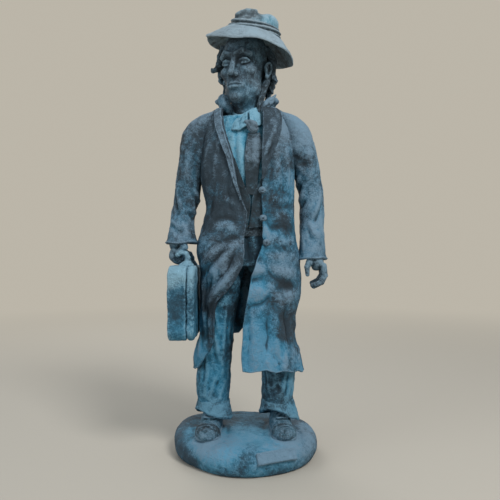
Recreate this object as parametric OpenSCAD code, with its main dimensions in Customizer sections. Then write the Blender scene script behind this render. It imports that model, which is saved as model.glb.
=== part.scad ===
// Standing man in a long open coat and a soft hat, holding a suitcase: a papier-mache figure on a round plinth.
// Millimetres. +Z is up, the figure faces -Y, its right hand is on the -X side, and the origin is the
// centre of the plinth's underside. Paper skins are wrapped over padded cores, and the cores over wires.

/* [Figure] */
// Height of the figure, from the top of the plinth to the top of the hat
figure_h = 378; // [320:1:440]
// Turn of the head towards the figure's right
head_turn = 25; // [10:1:35]
// Lean of the hat towards the figure's left
hat_lean = 15; // [5:1:20]

/* [Plinth] */
// Diameter of the plinth at its widest
plinth_d = 128; // [112:1:160]
// Height of the plinth
plinth_h = 22; // [17:1:30]
// How far the plinth's side draws in at the bottom
plinth_undercut = 2.5; // [0:0.5:5]
// Length of the blank name tablet
tablet_l = 35; // [20:1:44]
// Height of the tablet's face
tablet_w = 10; // [7:0.5:12]
// Thickness of the tablet
tablet_t = 2.4; // [1.6:0.1:3]

/* [Wires] */
// Diameter of the steel wire in the legs, spine and arms
wire_d = 2.4; // [1.6:0.1:3]
// Depth of the holes in the plinth that hold the leg wires
socket_depth = 12; // [8:0.5:14]

/* [Paper skins] */
// Thickness of the coat's skin
coat_wall = 1.8; // [1.2:0.1:2.4]
// Thickness of the trousers' skin
trouser_wall = 1.8; // [1.2:0.1:2.4]
// Thickness of the shirt, waistcoat and lapels
shirt_wall = 1.3; // [0.9:0.1:1.5]
// Gap left between one layer and the next
layer_gap = 0.3; // [0.2:0.05:0.4]
// Rise of the coat's collar above the neck opening
collar_h = 13; // [9:0.5:16]

/* [Hat] */
// Diameter across the crown at the brim
crown_d = 44; // [42:1:50]
// Width of the brim, from crown to edge
brim_w = 17; // [12:0.5:20]
// Thickness of the brim
brim_t = 2; // [1.4:0.1:2.6]
// Width of the folded band
band_w = 6; // [4:0.5:8]

/* [Suitcase] */
// Thickness of the suitcase, tray and lid together
case_w = 23; // [20:0.5:26]
// Share of that thickness taken by the lid
lid_t = 7; // [5:0.5:9]
// Height of the suitcase
case_h = 64; // [50:1:76]
// Length of the suitcase
case_l = 82; // [66:1:100]
// Radius of its corners
case_r = 11; // [4:0.5:14]
// Diameter of the handle's grip
grip_d = 3.8; // [3:0.1:4.6]
// Length of the grip
grip_l = 34; // [30:1:42]

/* [Hidden] */
k = figure_h / 378;        // the section tables below are drawn for a figure 378 high
fit = 0.15;                // clearance of a wire in its hole, and of a skin on its core
eps = 0.01;
slate = [0.22, 0.27, 0.30];
verdigris = [0.20, 0.48, 0.54];
pale = [0.42, 0.60, 0.66];

// ---- Section tables: [z above the plinth, centre x, centre y, half width, half depth] ----
coat_rows = [
    [50, 3, 3, 50, 34], [71, 0.5, 3, 47, 33], [76, 0.6, 3, 45.2, 32.6], [82, 1, 3, 43.4, 32.2],
    [97, 1.2, 3, 42.8, 31.5], [124, 4, 2.5, 45.5, 30.5], [148, 3.4, 2.1, 45.5, 29.2], [157, 1.8, 1.9, 46.2, 28.4],
    [168, 1, 1.5, 44.5, 27], [181, 2.5, 1.5, 41.5, 25.5],
    [195, 3.5, 1.5, 39.5, 25], [218, 2, 1.5, 41.5, 26.5], [240, 1, 2, 43, 27],
    [258, 1, 3, 43, 25.5], [268, 1, 3.5, 40, 23], [277, 1, 4, 34.8, 20.6], [284.5, 1, 4.5, 28, 18],
    [290, 1, 5, 21.5, 16]
];
trouser_right_rows = [
    [14, -29.4, -1, 15.2, 17], [25, -29.2, 0, 14.2, 16], [38, -29.4, 1, 15.4, 16.5], [60, -28, 1, 15.2, 17],
    [97, -24.4, 0, 14, 17.5], [124, -21.2, 1, 15.6, 18.5], [146, -18.6, 1.5, 17.2, 19.5]
];
trouser_left_rows = [
    [14, 29, -1, 15.2, 17], [25, 28.6, 0, 13.8, 16], [38, 28.6, 1, 14, 16], [60, 28.6, 1, 15, 17],
    [97, 25, 0, 15.2, 17.5], [124, 22.5, 1, 17, 18.5], [146, 19.4, 1.5, 17.8, 19.5]
];
seat_rows = [[146, 0, 1.5, 37, 20], [158, 0.5, 1.5, 36, 20.5], [170, 1, 1.5, 34.5, 20], [180, 1.5, 1.5, 33, 19]];
sleeve_right_rows = [
    [167, -57.6, -1, 13.7, 14], [176, -57.8, 0, 12, 12.5], [188, -57.3, 2, 10.8, 12], [206, -54, 4, 11.3, 12.5],
    [224, -51.8, 4, 12, 13], [240, -49.6, 3, 12.8, 14], [258, -46.6, 2.5, 14, 15.5], [269, -43.5, 2, 13.5, 15],
    [277, -39.5, 2, 10, 12.5], [282, -36, 2, 5, 8]
];
sleeve_left_rows = [
    [153, 59.4, 0, 12.6, 13], [168, 60, 1, 11.3, 12], [188, 59.5, 3, 10.6, 12], [206, 59, 4, 10.8, 12.5],
    [228, 55.5, 4, 12, 13], [240, 53, 3, 12.8, 14], [258, 48.6, 2.5, 14, 15.5], [269, 45, 2, 13.5, 15],
    [277, 41, 2, 10, 12.5], [282, 38, 2, 5, 8]
];
head_rows = [           // above the chin, before the head is turned
    [-20, 5, 11, 11], [-6, 4, 11.2, 12], [0, -4, 11.6, 16], [5, -4, 14.6, 19], [14, -2, 17.4, 22],
    [25, 0, 19.2, 24], [36, 1, 20.2, 25], [46, 2, 20.4, 25.2], [56, 2, 19, 23.4], [63, 2, 14.4, 18.6], [68, 2, 7, 10]
];
crown_rows = [[-0.5, 0, 0], [7, 0, 1.2], [11, 0.5, 2.6], [14.6, 1.4, 4.8], [17.8, 2.4, 8.6], [19.8, 3, 14]];  // z, shift, draw-in
chin = [-1, -3, 290];
hat_seat = [7, -1, 355];
hip_h = 146;            // top of the trouser legs
hem_steps = 4;
knee_h = 90;
ankle_x = 30;
grip_at = [-60, 1, 156];

// ---- Shapes from sections ----
// Closed skin over a list of rings, each a list of points in order, counter-clockwise seen from above
module skin(rings) {
    n = len(rings[0]);
    m = len(rings);
    polyhedron(
        points = [for (r = rings, p = r) p],
        faces = concat(
            [[for (i = [0:n - 1]) i]],
            [for (j = [0:m - 2], i = [0:n - 1]) let (a = j * n + i, b = j * n + (i + 1) % n)
                each [[a, a + n, b + n], [a, b + n, b]]],
            [[for (i = [n - 1:-1:0]) (m - 1) * n + i]]
        )
    );
}
// Open tube with a wall, from its outer and inner rings
module tube(outer, inner) {
    n = len(outer[0]);
    m = len(outer);
    t = n * m;
    polyhedron(
        points = concat([for (r = outer, p = r) p], [for (r = inner, p = r) p]),
        faces = concat(
            [for (j = [0:m - 2], i = [0:n - 1]) let (a = j * n + i, b = j * n + (i + 1) % n)
                each [[a, a + n, b + n], [a, b + n, b], [t + a, t + b + n, t + a + n], [t + a, t + b, t + b + n]]],
            [for (i = [0:n - 1]) let (a = i, b = (i + 1) % n) each [[a, b, t + b], [a, t + b, t + a]]],
            [for (i = [0:n - 1]) let (a = (m - 1) * n + i, b = (m - 1) * n + (i + 1) % n)
                each [[a, t + b, b], [a, t + a, t + b]]]
        )
    );
}
// Slab between two grids of points: columns run counter-clockwise seen from above, and rows run upwards
module slab(outer, inner) {
    n = len(outer[0]);
    m = len(outer);
    t = n * m;
    edge = concat(
        [for (i = [0:n - 1]) i], [for (j = [1:m - 1]) j * n + n - 1],
        [for (i = [n - 2:-1:0]) (m - 1) * n + i], [for (j = [m - 2:-1:1]) j * n]
    );
    e = len(edge);
    polyhedron(
        points = concat([for (r = outer, p = r) p], [for (r = inner, p = r) p]),
        faces = concat(
            [for (j = [0:m - 2], i = [0:n - 2]) let (a = j * n + i, b = a + 1)
                each [[a, a + n, b + n], [a, b + n, b], [t + a, t + b + n, t + a + n], [t + a, t + b, t + b + n]]],
            [for (i = [0:e - 1]) let (a = edge[i], b = edge[(i + 1) % e])
                each [[a, b, t + b], [a, t + b, t + a]]]
        )
    );
}
function at(rows, z, c) = lookup(z, [for (r = rows) [r[0], r[c]]]);
function squarish(v) = sign(v) * pow(abs(v), 0.86);
function ring(cx, cy, z, rx, ry, n) = [for (i = [0:n - 1]) [cx + rx * cos(360 * i / n), cy + ry * sin(360 * i / n), z]];
// Rings of a limb's table, drawn in by inset
function limb(rows, inset, n) = [for (r = rows) ring(r[1] * k, r[2] * k, r[0] * k, r[3] * k - inset, r[4] * k - inset, n)];
// The same, cut down to the heights from low to high
function limb_between(rows, low, high, inset, n) = limb(
    concat([[low, for (c = [1:4]) at(rows, low, c)]], [for (r = rows) if (r[0] > low && r[0] < high) r],
        [[high, for (c = [1:4]) at(rows, high, c)]]), inset, n);
// A point on the coat's surface, a degrees from straight ahead towards the figure's left, sunk by inset
function on_coat(a, z, inset) = [
    at(coat_rows, z, 1) * k + (at(coat_rows, z, 3) * k - inset) * squarish(sin(a)),
    at(coat_rows, z, 2) * k - (at(coat_rows, z, 4) * k - inset) * squarish(cos(a)),
    z * k
];
function mix(a, b, t) = a + (b - a) * t;
// Heights of a panel's rows at one column: even steps from its hem up to knee, then the coat's own sections
function row_heights(low, knee, high) = concat(
    [for (t = [0:hem_steps]) mix(low, knee, t / hem_steps)],
    [for (r = coat_rows) if (r[0] > knee + 2 && r[0] < high - 2) r[0]],
    [high]
);
// A grid on the coat from column angles and hem heights that may change across the panel
function panel(left, right, low_left, low_right, knee, high, cols, inset) =
    let (heights = [for (i = [0:cols]) row_heights(mix(low_left, low_right, i / cols), knee, high)])
    [for (j = [0:len(heights[0]) - 1]) [for (i = [0:cols])
        let (z = heights[i][j]) on_coat(mix(lookup(z, left), lookup(z, right), i / cols), z, inset)]];
module panel_skin(left, right, low_left, low_right, knee, high, cols, outside, wall) {
    slab(panel(left, right, low_left, low_right, knee, high, cols, outside),
        panel(left, right, low_left, low_right, knee, high, cols, outside + wall));
}
// Straight round rod between two points
module rod(p, q, d) {
    v = q - p;
    h = norm(v);
    translate(p) rotate([0, acos(v[2] / h), atan2(v[1], v[0])]) cylinder(h = h, d = d, $fn = 24);
}
module wire(points, d) {
    for (i = [0:len(points) - 2]) rod(points[i], points[i + 1], d);
    if (len(points) > 2) for (i = [1:len(points) - 2]) translate(points[i]) sphere(d = d * 1.08, $fn = 24);
}
// Everything above the plinth's top is drawn from that top
module on_plinth() {
    translate([0, 0, plinth_h]) children();
}
module turned_head() {
    translate(chin * k) rotate([0, 0, -head_turn]) children();
}
module leaning_hat() {
    translate(hat_seat * k) rotate([8, hat_lean, 0]) children();
}

// ---- Wires ----
leg_top = [for (s = [-1, 1]) [s * 16 * k, 2 * k, 172 * k]];
leg_foot = [for (s = [-1, 1]) [s * ankle_x * k, 2 * k, -socket_depth]];
spine_path = [[0.4, 3.4, 152] * k, [0.2, 1.3, 317.3] * k];
arm_right_path = [[-6, 3, 262] * k, [-41, 3, 260] * k, [-52, 4, 200] * k, [-60.5, 0, 168] * k];
arm_left_path = [[6, 3.3, 263] * k, [42.4, 2.8, 260.6] * k, [58.3, 4.2, 199] * k, [60.7, 0.3, 152.5] * k];

module leg_wire(side, extra) {
    rod(leg_foot[side], leg_top[side], wire_d + extra);
}
module leg_wire_right() {
    color(slate) on_plinth() leg_wire(0, 0);
}
module leg_wire_left() {
    color(slate) on_plinth() leg_wire(1, 0);
}
module spine_wire() {
    color(slate) on_plinth() wire(spine_path, wire_d);
}
module arm_wire_right() {
    color(slate) on_plinth() wire(arm_right_path, wire_d);
}
module arm_wire_left() {
    color(slate) on_plinth() wire(arm_left_path, wire_d);
}

// ---- Plinth ----
plinth_r = plinth_d / 2;
edge_r = plinth_h / 2;
tablet_tilt = 52;
module tablet_place() {
    rotate([0, 0, 24]) translate([0, -plinth_r + 4.2, plinth_h - 7.6]) rotate([tablet_tilt, 0, 0]) children();
}
module plinth() {
    color(verdigris) difference() {
        rotate_extrude($fn = 96) polygon(concat(
            [[0, 0], [plinth_r - plinth_undercut, 0]],
            [for (a = [-40:20:80]) [plinth_r - edge_r * (1 - cos(a)), edge_r * (1 + sin(a))]],
            [[plinth_r - edge_r - 4, plinth_h], [0, plinth_h]]
        ));
        on_plinth() for (side = [0, 1]) leg_wire(side, 2 * fit);
        tablet_place() translate([-tablet_l / 2, -tablet_w / 2, -1]) cube([tablet_l, tablet_w, 20]);
    }
}
// Blank raised tablet on the plinth's front slope
module name_tablet() {
    color(pale) tablet_place() translate([-tablet_l / 2 + fit, -tablet_w / 2 + fit, -1])
        cube([tablet_l - 2 * fit, tablet_w - 2 * fit, tablet_t]);
}

// ---- Shoes ----
sole_t = 2.6;
shoe_rows = [            // distance in front of the heel, half width, height above the plinth
    [0, 4.4, 17], [3, 7.2, 19.2], [12, 9.4, 20.4], [22, 9, 16.6], [31, 9.8, 11.8], [39.7, 10.6, 10.8]
];
module shoe_place(side) {
    translate([side * ankle_x * k, 10.5 * k, 0]) rotate([0, 0, side * 4]) scale(k) children();
}
module sole(side) {
    difference() {
        shoe_place(side) linear_extrude(sole_t / k) union() {
            translate([0, -40]) circle(r = 11.4, $fn = 48);
            translate([0, -7]) circle(r = 9.6, $fn = 48);
            polygon([[-11.4, -40], [11.4, -40], [9.6, -7], [-9.6, -7]]);
        }
        leg_wire(side > 0 ? 1 : 0, 2 * fit);
    }
}
module shoe(side) {
    difference() {
        shoe_place(side) skin([for (r = shoe_rows) [for (i = [0:11]) let (a = 90 - 180 * i / 11)
            [r[1] * sin(a), 3 - r[0], sole_t / k + fit + (r[2] - sole_t / k - fit) * pow(max(0, cos(a)), 0.6)]]]);
        leg_wire(side > 0 ? 1 : 0, 2 * fit);
    }
}
module toe_cap(side) {
    shoe_place(side) skin([for (r = [[40, 10.6, 10.8], [45.5, 10.1, 10.2], [49.7, 7.6, 8.2], [52, 4, 5.4]])
        [for (i = [0:11]) let (a = 90 - 180 * i / 11)
            [r[1] * sin(a), 3 - r[0], sole_t / k + fit + (r[2] - sole_t / k - fit) * pow(max(0, cos(a)), 0.6)]]]);
}
module shoe_right() {
    color(slate) on_plinth() shoe(-1);
}
module shoe_left() {
    color(slate) on_plinth() shoe(1);
}
module sole_right() {
    color(pale) on_plinth() sole(-1);
}
module sole_left() {
    color(pale) on_plinth() sole(1);
}
module toe_cap_right() {
    color(slate) on_plinth() toe_cap(-1);
}
module toe_cap_left() {
    color(slate) on_plinth() toe_cap(1);
}

// ---- Legs ----
shoe_top = 21.6;         // the padding in the legs starts on the shoe
cuff_t = 1.6;
module leg_core(rows, side) {
    difference() {
        skin(limb_between(rows, shoe_top, hip_h - layer_gap, trouser_wall + fit, 24));
        leg_wire(side, 2 * fit);
    }
}
module trouser_leg(rows) {
    cut = concat([shoe_top + 0.4], [for (r = rows) if (r[0] > 22) r[0]]);
    sections = [for (z = cut) [min(z, hip_h - layer_gap), for (c = [1:4]) at(rows, z, c)]];
    tube(limb(sections, 0, 24), limb(sections, trouser_wall, 24));
}
// Rolled turn-up round the foot of a trouser leg, lower at the heel
module cuff(rows) {
    heights = [12, 14.5, 18, 21.5, 23.5];
    outer = [-0.4, 1.4, 1.9, 1.5, 0.3];
    tip = 0.22;
    function row(z, grow, n) = [for (p = ring(at(rows, z, 1) * k, at(rows, z, 2) * k, z * k,
        at(rows, z, 3) * k + grow, at(rows, z, 4) * k + grow, n)) p - [0, 0, tip * (p[1] + 8) * (23.5 - z) / 11.5]];
    tube([for (i = [0:4]) row(heights[i], outer[i] + layer_gap + 0.6, 24)],
        [for (i = [0:4]) row(heights[i], layer_gap - (heights[i] < 20 ? 1.2 : 0), 24)]);
}
module leg_core_right() {
    color(pale) on_plinth() leg_core(trouser_right_rows, 0);
}
module leg_core_left() {
    color(pale) on_plinth() leg_core(trouser_left_rows, 1);
}
module trouser_leg_right() {
    color(verdigris) on_plinth() trouser_leg(trouser_right_rows);
}
module trouser_leg_left() {
    color(verdigris) on_plinth() trouser_leg(trouser_left_rows);
}
module cuff_right() {
    color(pale) on_plinth() cuff(trouser_right_rows);
}
module cuff_left() {
    color(pale) on_plinth() cuff(trouser_left_rows);
}
module trouser_seat() {
    color(slate) on_plinth() difference() {
        skin(limb(seat_rows, 0, 28));
        for (side = [0, 1]) leg_wire(side, 2 * fit);
        wire(spine_path, wire_d + 2 * fit);
    }
}
module waistband() {
    rows = [[172, 1.1, 1.5, 34.3, 20], [180, 1.5, 1.5, 33, 19]];
    color(slate) on_plinth() tube(limb(rows, -1.4 - fit, 28), limb(rows, -fit, 28));
}

// ---- Body and shirt ----
waistcoat_in = coat_wall + layer_gap + 0.3;
tie_in = waistcoat_in + shirt_wall + layer_gap;
shirt_in = tie_in + shirt_wall + layer_gap;
core_in = shirt_in + shirt_wall + 2 * layer_gap;
core_heights = [180.5, 195, 218, 240, 258, 268, 276];
module torso_core() {
    color(pale) on_plinth() difference() {
        skin([for (z = core_heights) [for (i = [0:35]) on_coat(90 + 10 * i, z, core_in)]]);
        wire(spine_path, wire_d + 2 * fit);
        wire(arm_right_path, wire_d + 2 * fit);
        wire(arm_left_path, wire_d + 2 * fit);
        turned_head() skin(head_skin(fit));
    }
}
module shirt_front() {
    color(verdigris) on_plinth() panel_skin([[182, -50], [282, -50]], [[182, 50], [282, 50]],
        182, 182, 194, 273, 12, shirt_in, shirt_wall);
}
module waistcoat() {
    color(slate) on_plinth() {
        panel_skin([[184, -64], [270, -60]], [[184, -1], [206, 1], [240, -12], [262, -36]], 190, 184, 206, 262, 7,
            waistcoat_in, shirt_wall);
        panel_skin([[184, 0], [206, 2.2], [240, 26], [262, 46]], [[184, 66], [270, 62]], 184, 190, 206, 262, 7,
            waistcoat_in, shirt_wall);
    }
}
module tie_blade() {
    edge = 1.5;
    color(slate) on_plinth() panel_skin([[208, -2], [242, -1], [262, 1]], [[208, 8], [242, 18], [262, 14]],
        209, 209, 226, 263, 3, tie_in, shirt_wall);
}
// Knot between the collar's wings
module tie_knot() {
    top = on_coat(6, 271.5, tie_in - 2.5);
    low = on_coat(7, 266.5, tie_in - 1.9);
    color(slate) on_plinth() hull() {
        translate(top) scale([1.5, 1, 0.7]) sphere(r = 3.9, $fn = 16);
        translate(low) scale([1.1, 0.8, 0.5]) sphere(r = 3.2, $fn = 16);
    }
}
// Stand of the shirt's collar, and its two wings lying on the shirt below it
module shirt_collar() {
    neck = chin * k + [1, 4.5, 0] * k;
    module stand(inset) {
        function row(z, r) = ring(neck[0], neck[1], z * k, r * k - inset, r * k - inset, 28);
        tube([row(276.6, 13.6), row(289, 13.9)], [row(276.6, 13.6 - shirt_wall / k), row(289, 13.9 - shirt_wall / k)]);
    }
    color(verdigris) on_plinth() {
        difference() {
            stand(0);
            translate([3.5 * k, -26 * k, 268 * k]) rotate([0, 0, 45]) cylinder(h = 60, d1 = 10, d2 = 58, $fn = 4);
            turned_head() skin(head_skin(fit));
        }
        panel_skin([[264, -14], [276, -24]], [[264, -10], [270, -3], [276, 0]], 266, 265, 270, 276.2, 4, tie_in, shirt_wall);
        panel_skin([[264, 18.6], [270, 13.4], [276, 11.4]], [[264, 21], [276, 30]], 265, 266, 270, 276.2, 3, tie_in, shirt_wall);
    }
}

// ---- Coat ----
coat_top = 288;
side_a = 80;
side_seam = 0.8;         // half the angle left open at each side seam
shoulder_gap = 0.4;
back_hem = [[-100, 50], [-60, 51], [-24, 62], [-8, 75], [0, 82], [4, 86], [8, 81], [26, 80], [42, 62], [60, 54], [100, 54]];
right_edge = [[50, -40], [108, -40], [116, -36], [123, -25], [133, -15], [146, -6], [158, -2], [193, -2], [205, -7],
    [220, -10], [242, -14], [260, -24], [276, -40], [290, -58]];
left_edge = [[50, -4], [92, -3.5], [117, -2], [139, 0.5], [150, 5], [163, 13], [168, 17], [173, 14], [203, 12], [225, 16],
    [238, 24], [253, 36], [273, 48], [290, 58]];
module coat_back() {
    cols = 22;
    angles = [for (i = [0:cols]) mix(-180 + side_a, 180 - side_a, i / cols)];
    heights = [for (a = angles) row_heights(lookup(a, back_hem), knee_h, coat_top)];
    function grid(inset) = [for (j = [0:len(heights[0]) - 1]) [for (i = [0:cols])
        on_coat(180 + angles[i], heights[i][j], inset)]];
    color(slate) on_plinth() difference() {
        slab(grid(0), grid(coat_wall));
        wire(arm_right_path, wire_d + 2 * fit);
        wire(arm_left_path, wire_d + 2 * fit);
    }
}
module coat_front_right() {
    color(slate) on_plinth() panel_skin([[50, side_seam - side_a], [290, side_seam - side_a]], right_edge, 54, 74, knee_h,
        coat_top, 7, 0, coat_wall);
}
module coat_front_left() {
    color(slate) on_plinth() panel_skin(left_edge, [[50, side_a - side_seam], [290, side_a - side_seam]], 52, 50, knee_h,
        coat_top, 8, 0, coat_wall);
}
// Turned-back facings along the two front edges
module lapel_right() {
    color(pale) on_plinth() panel_skin(
        [for (r = right_edge) if (r[0] > 200) [r[0], r[1] - 13 * (r[0] - 190) / 88]],
        [for (r = right_edge) if (r[0] > 200) [r[0], r[1] - 0.5]],
        204, 204, 214, 278, 2, -shirt_wall - 2 * layer_gap, shirt_wall);
}
module lapel_left() {
    color(slate) on_plinth() panel_skin(
        [for (r = left_edge) if (r[0] > 200) [r[0], r[1] + 0.5]],
        [for (r = left_edge) if (r[0] > 200) [r[0], r[1] + 11 * (r[0] - 214) / 60]],
        224, 224, 236, 278, 2, -shirt_wall - 2 * layer_gap, shirt_wall);
}
// Turned-up collar, open at the front, flaring into a tip on the figure's left
module coat_collar() {
    cols = 26;
    gap_a = 53;
    function flare(a) = 1 + (a < 90 ? 2.6 * pow((90 - a) / 90, 2) : a > 250 ? 1.6 * pow((a - 250) / 70, 2) : 0);
    function rise(a) = 1 - 0.35 * pow(abs(a - 180) / 140, 3);
    function point(a, t, inset) = [
        1 * k + ((20.6 + t * 4.6 * flare(a)) * k - inset) * sin(a),
        5 * k - ((15.8 + t * 3.6) * k - inset) * cos(a),
        coat_top * k + 0.4 + t * collar_h * rise(a)
    ];
    function grid(inset) = [for (t = [0, 0.35, 0.7, 1]) [for (i = [0:cols])
        point(mix(gap_a, 360 - gap_a, i / cols), t, inset)]];
    color(slate) on_plinth() slab(grid(0), grid(coat_wall));
}
button_d = 5.2;
module coat_buttons() {
    spots = [[13.5, 212], [14, 188], [19, 167]];
    color(pale) on_plinth() for (s = spots) {
        p = on_coat(s[0], s[1], 0);
        translate(p + [0, -0.35, 0]) rotate([90, 0, s[0]]) {
            cylinder(h = 1.2, d1 = button_d, d2 = button_d * 0.85, $fn = 32);
            translate([0, 0, 1.2]) cylinder(h = 0.9, d1 = button_d * 0.85, d2 = button_d * 0.4, $fn = 32);
        }
    }
}
module coat_body_space(grow) {
    skin([for (z = concat([140], [for (r = coat_rows) if (r[0] > 140) r[0]])) [for (i = [0:31])
        on_coat(90 + 360 * i / 32, z, -grow)]]);
}
module sleeve(rows) {
    difference() {
        tube(limb(rows, 0, 22), limb(rows, coat_wall, 22));
        coat_body_space(shoulder_gap);
    }
}
module sleeve_right() {
    color(slate) on_plinth() sleeve(sleeve_right_rows);
}
module sleeve_left() {
    color(slate) on_plinth() sleeve(sleeve_left_rows);
}
module arm_core(rows, low, path) {
    difference() {
        skin(limb_between(rows, low, 278, coat_wall + fit, 14));
        coat_body_space(shoulder_gap);
        wire(path, wire_d + 2 * fit);
    }
}
module arm_core_right() {
    color(pale) on_plinth() arm_core(sleeve_right_rows, 178.5, arm_right_path);
}
module arm_core_left() {
    color(pale) on_plinth() arm_core(sleeve_left_rows, 164.5, arm_left_path);
}

// ---- Hands ----
finger_d = 5.8;
finger_ring = grip_d / 2 + 0.25 + finger_d * k / 2;   // radius of a finger's curl round the grip
module curl(from, to, r, d) {
    rotate([90, 0, 0]) rotate([0, 0, from]) rotate_extrude(angle = to - from, $fn = 48) translate([r, 0])
        circle(d = d, $fn = 24);
}
// Fist round the suitcase's grip
module hand_right() {
    wrist = [-60.5, 0, 172.5] * k;
    at_grip = grip_at * k;
    color(slate) on_plinth() difference() {
        union() {
            for (i = [0:3]) translate(at_grip + [0, (i - 1.5) * (finger_d + 0.05) * k, 0])
                curl(-20, 235, finger_ring, finger_d * k);
            hull() {
                translate(wrist) scale([1, 0.9, 0.7]) sphere(r = 6.2 * k, $fn = 20);
                translate(at_grip + [-6.2, -7, 2.2] * k) sphere(r = 3.3 * k, $fn = 16);
                translate(at_grip + [-6.2, 7, 2.2] * k) sphere(r = 3.3 * k, $fn = 16);
                translate(at_grip + [-0.5, 0, 9] * k) scale([1.2, 1.8, 0.8]) sphere(r = 4.8 * k, $fn = 16);
            }
        }
        translate(at_grip + [0, -20, 0]) rotate([-90, 0, 0]) cylinder(h = 40, d = grip_d + 0.5, $fn = 32);
        wire(arm_right_path, wire_d + 2 * fit);
    }
}
// Open hand, its fingers curled towards the thigh
finger_bend = [[7.6, 5], [8.9, -3], [6.4, -9.4], [1.2, -12.4]];    // knuckle to tip, out and up from the curl's centre
module hand_left() {
    curl_at = [61, -1, 141] * k;
    color(slate) on_plinth() difference() {
        union() {
            for (i = [0:3], j = [0:2]) hull() for (b = [j, j + 1])
                translate(curl_at + [finger_bend[b][0] - (b == 3 ? i * 0.6 : 0), (i - 1.5) * 4.7, finger_bend[b][1]] * k)
                    sphere(r = (2.7 - b * 0.22) * k, $fn = 14);
            thumb = [[-3, -5, 11], [-6.4, -9, 5], [-6.8, -9.6, -2.4]];
            for (j = [0, 1]) hull() for (b = [j, j + 1])
                translate(curl_at + thumb[b] * k) sphere(r = (3 - b * 0.4) * k, $fn = 14);
            hull() {
                translate([61, 0, 157] * k) sphere(r = 6.4 * k, $fn = 18);
                for (y = [-6.8, 6.8]) translate(curl_at + [6.8, y, 4.6] * k) sphere(r = 3.2 * k, $fn = 14);
                translate(curl_at + [-3.4, -6, 10] * k) sphere(r = 3.4 * k, $fn = 14);
            }
        }
        wire(arm_left_path, wire_d + 2 * fit);
    }
}

// ---- Head ----
function head_skin(grow) = [for (r = head_rows) [for (p = ring(0, r[1] * k, r[0] * k, r[2] * k + grow, r[3] * k + grow, 24)) p]];
// Head and neck modelled over the spine wire, with the nose and chin built on
module head() {
    color(slate) on_plinth() difference() {
        turned_head() union() {
            skin(head_skin(0));
            scale(k) hull() {
                translate([0, -25, 33]) sphere(r = 2.4, $fn = 12);
                translate([0, -28.2, 19.5]) sphere(r = 2.8, $fn = 12);
                translate([-3.4, -24, 18.4]) sphere(r = 2, $fn = 12);
                translate([3.4, -24, 18.4]) sphere(r = 2, $fn = 12);
            }
            scale(k) hull() {
                translate([-3, -19, 3.4]) sphere(r = 3.6, $fn = 12);
                translate([3, -19, 3.4]) sphere(r = 3.6, $fn = 12);
            }
        }
        wire(spine_path, wire_d + 2 * fit);
    }
}
module ear_shape(side, grow) {
    turned_head() scale(k) hull() {
        translate([side * 20.8, 2, 31]) rotate([0, 90, 0]) cylinder(h = 3, d = 8 + 2 * grow, center = true, $fn = 20);
        translate([side * 20.4, 0, 24]) rotate([0, 90, 0]) cylinder(h = 3, d = 5 + 2 * grow, center = true, $fn = 16);
    }
}
module ear(side) {
    difference() {
        ear_shape(side, 0);
        turned_head() skin(head_skin(fit));
    }
}
module ear_right() {
    color(slate) on_plinth() ear(-1);
}
module ear_left() {
    color(slate) on_plinth() ear(1);
}
// Locks of hair pressed on in pellets; each spot is [x, y, z, radius] before the head is turned
module locks(spots) {
    difference() {
        turned_head() scale(k) for (s = spots) translate([s[0], s[1], s[2]]) sphere(r = s[3], $fn = 14);
        turned_head() skin(head_skin(fit));
        for (side = [-1.06, -1, 1, 1.06]) ear_shape(side, 0.4);
    }
}
module hair_right() {
    color(slate) on_plinth() locks([[-19.6, 8, 45, 6.4], [-22, 9, 37, 6.2], [-24.6, 2, 36, 4.6], [-28.4, -2, 33.6, 3.4],
        [-21, 11, 28, 6], [-18, 14, 20.4, 5.6], [-15, 18, 16.6, 4.6]]);
}
module hair_left() {
    color(slate) on_plinth() locks([[19.6, 10, 44, 6.2], [21.6, 12.4, 36, 6.2], [21.2, 14, 28, 6], [18, 16, 20.4, 5.6],
        [23.6, 9.6, 22, 3.8], [15, 18, 16.6, 4.6]]);
}
module hair_back() {
    color(slate) on_plinth() locks([[-10, 22.6, 40, 6.2], [0, 25.4, 40, 6.6], [10, 22.6, 40, 6.2], [-10, 22, 30, 6],
        [0, 25, 30, 6.4], [10, 22, 30, 6], [-6, 22, 21, 5.6], [6, 22, 21, 5.6]]);
}

// ---- Hat ----
crown_r = crown_d * k / 2;
crown_long = 1.1;        // the crown is this much deeper than it is wide
function crown_ring(r, grow) = ring(r[1] * k, 0, r[0] * k, crown_r - r[2] * k + grow, (crown_r - r[2] * k) * crown_long + grow, 28);
// Crown with a pinch along its top, moulded on the skull
module hat_crown() {
    color(pale) on_plinth() difference() {
        leaning_hat() skin([for (r = crown_rows) crown_ring(r, 0)]);
        leaning_hat() translate([3.4 * k, -2 * k, 22.2 * k]) rotate([90, 0, 10]) cylinder(h = 60, r = 5.2 * k, center = true, $fn = 24);
        turned_head() skin(head_skin(fit));
    }
}
module hat_brim() {
    n = 32;
    r_in = crown_r + layer_gap;
    function drop(a, t) = -(14 + 2.4 * cos(2 * a + 40) + 2.6 * cos(a + 38)) * k * pow(t, 1.25);
    function point(a, t, sink) = let (r = r_in + t * brim_w * k * (1 + 0.07 * cos(2 * a + 20) - 0.08 * cos(a)))
        [r * cos(a), (r + (crown_long - 1) * crown_r) * sin(a), drop(a, t) - sink];
    function rows(sink) = [for (t = [1, 0.66, 0.33, 0]) [for (i = [0:n - 1]) point(360 * i / n, t, sink)]];
    color(pale) on_plinth() leaning_hat() tube(rows(0), rows(brim_t));
}
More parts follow.
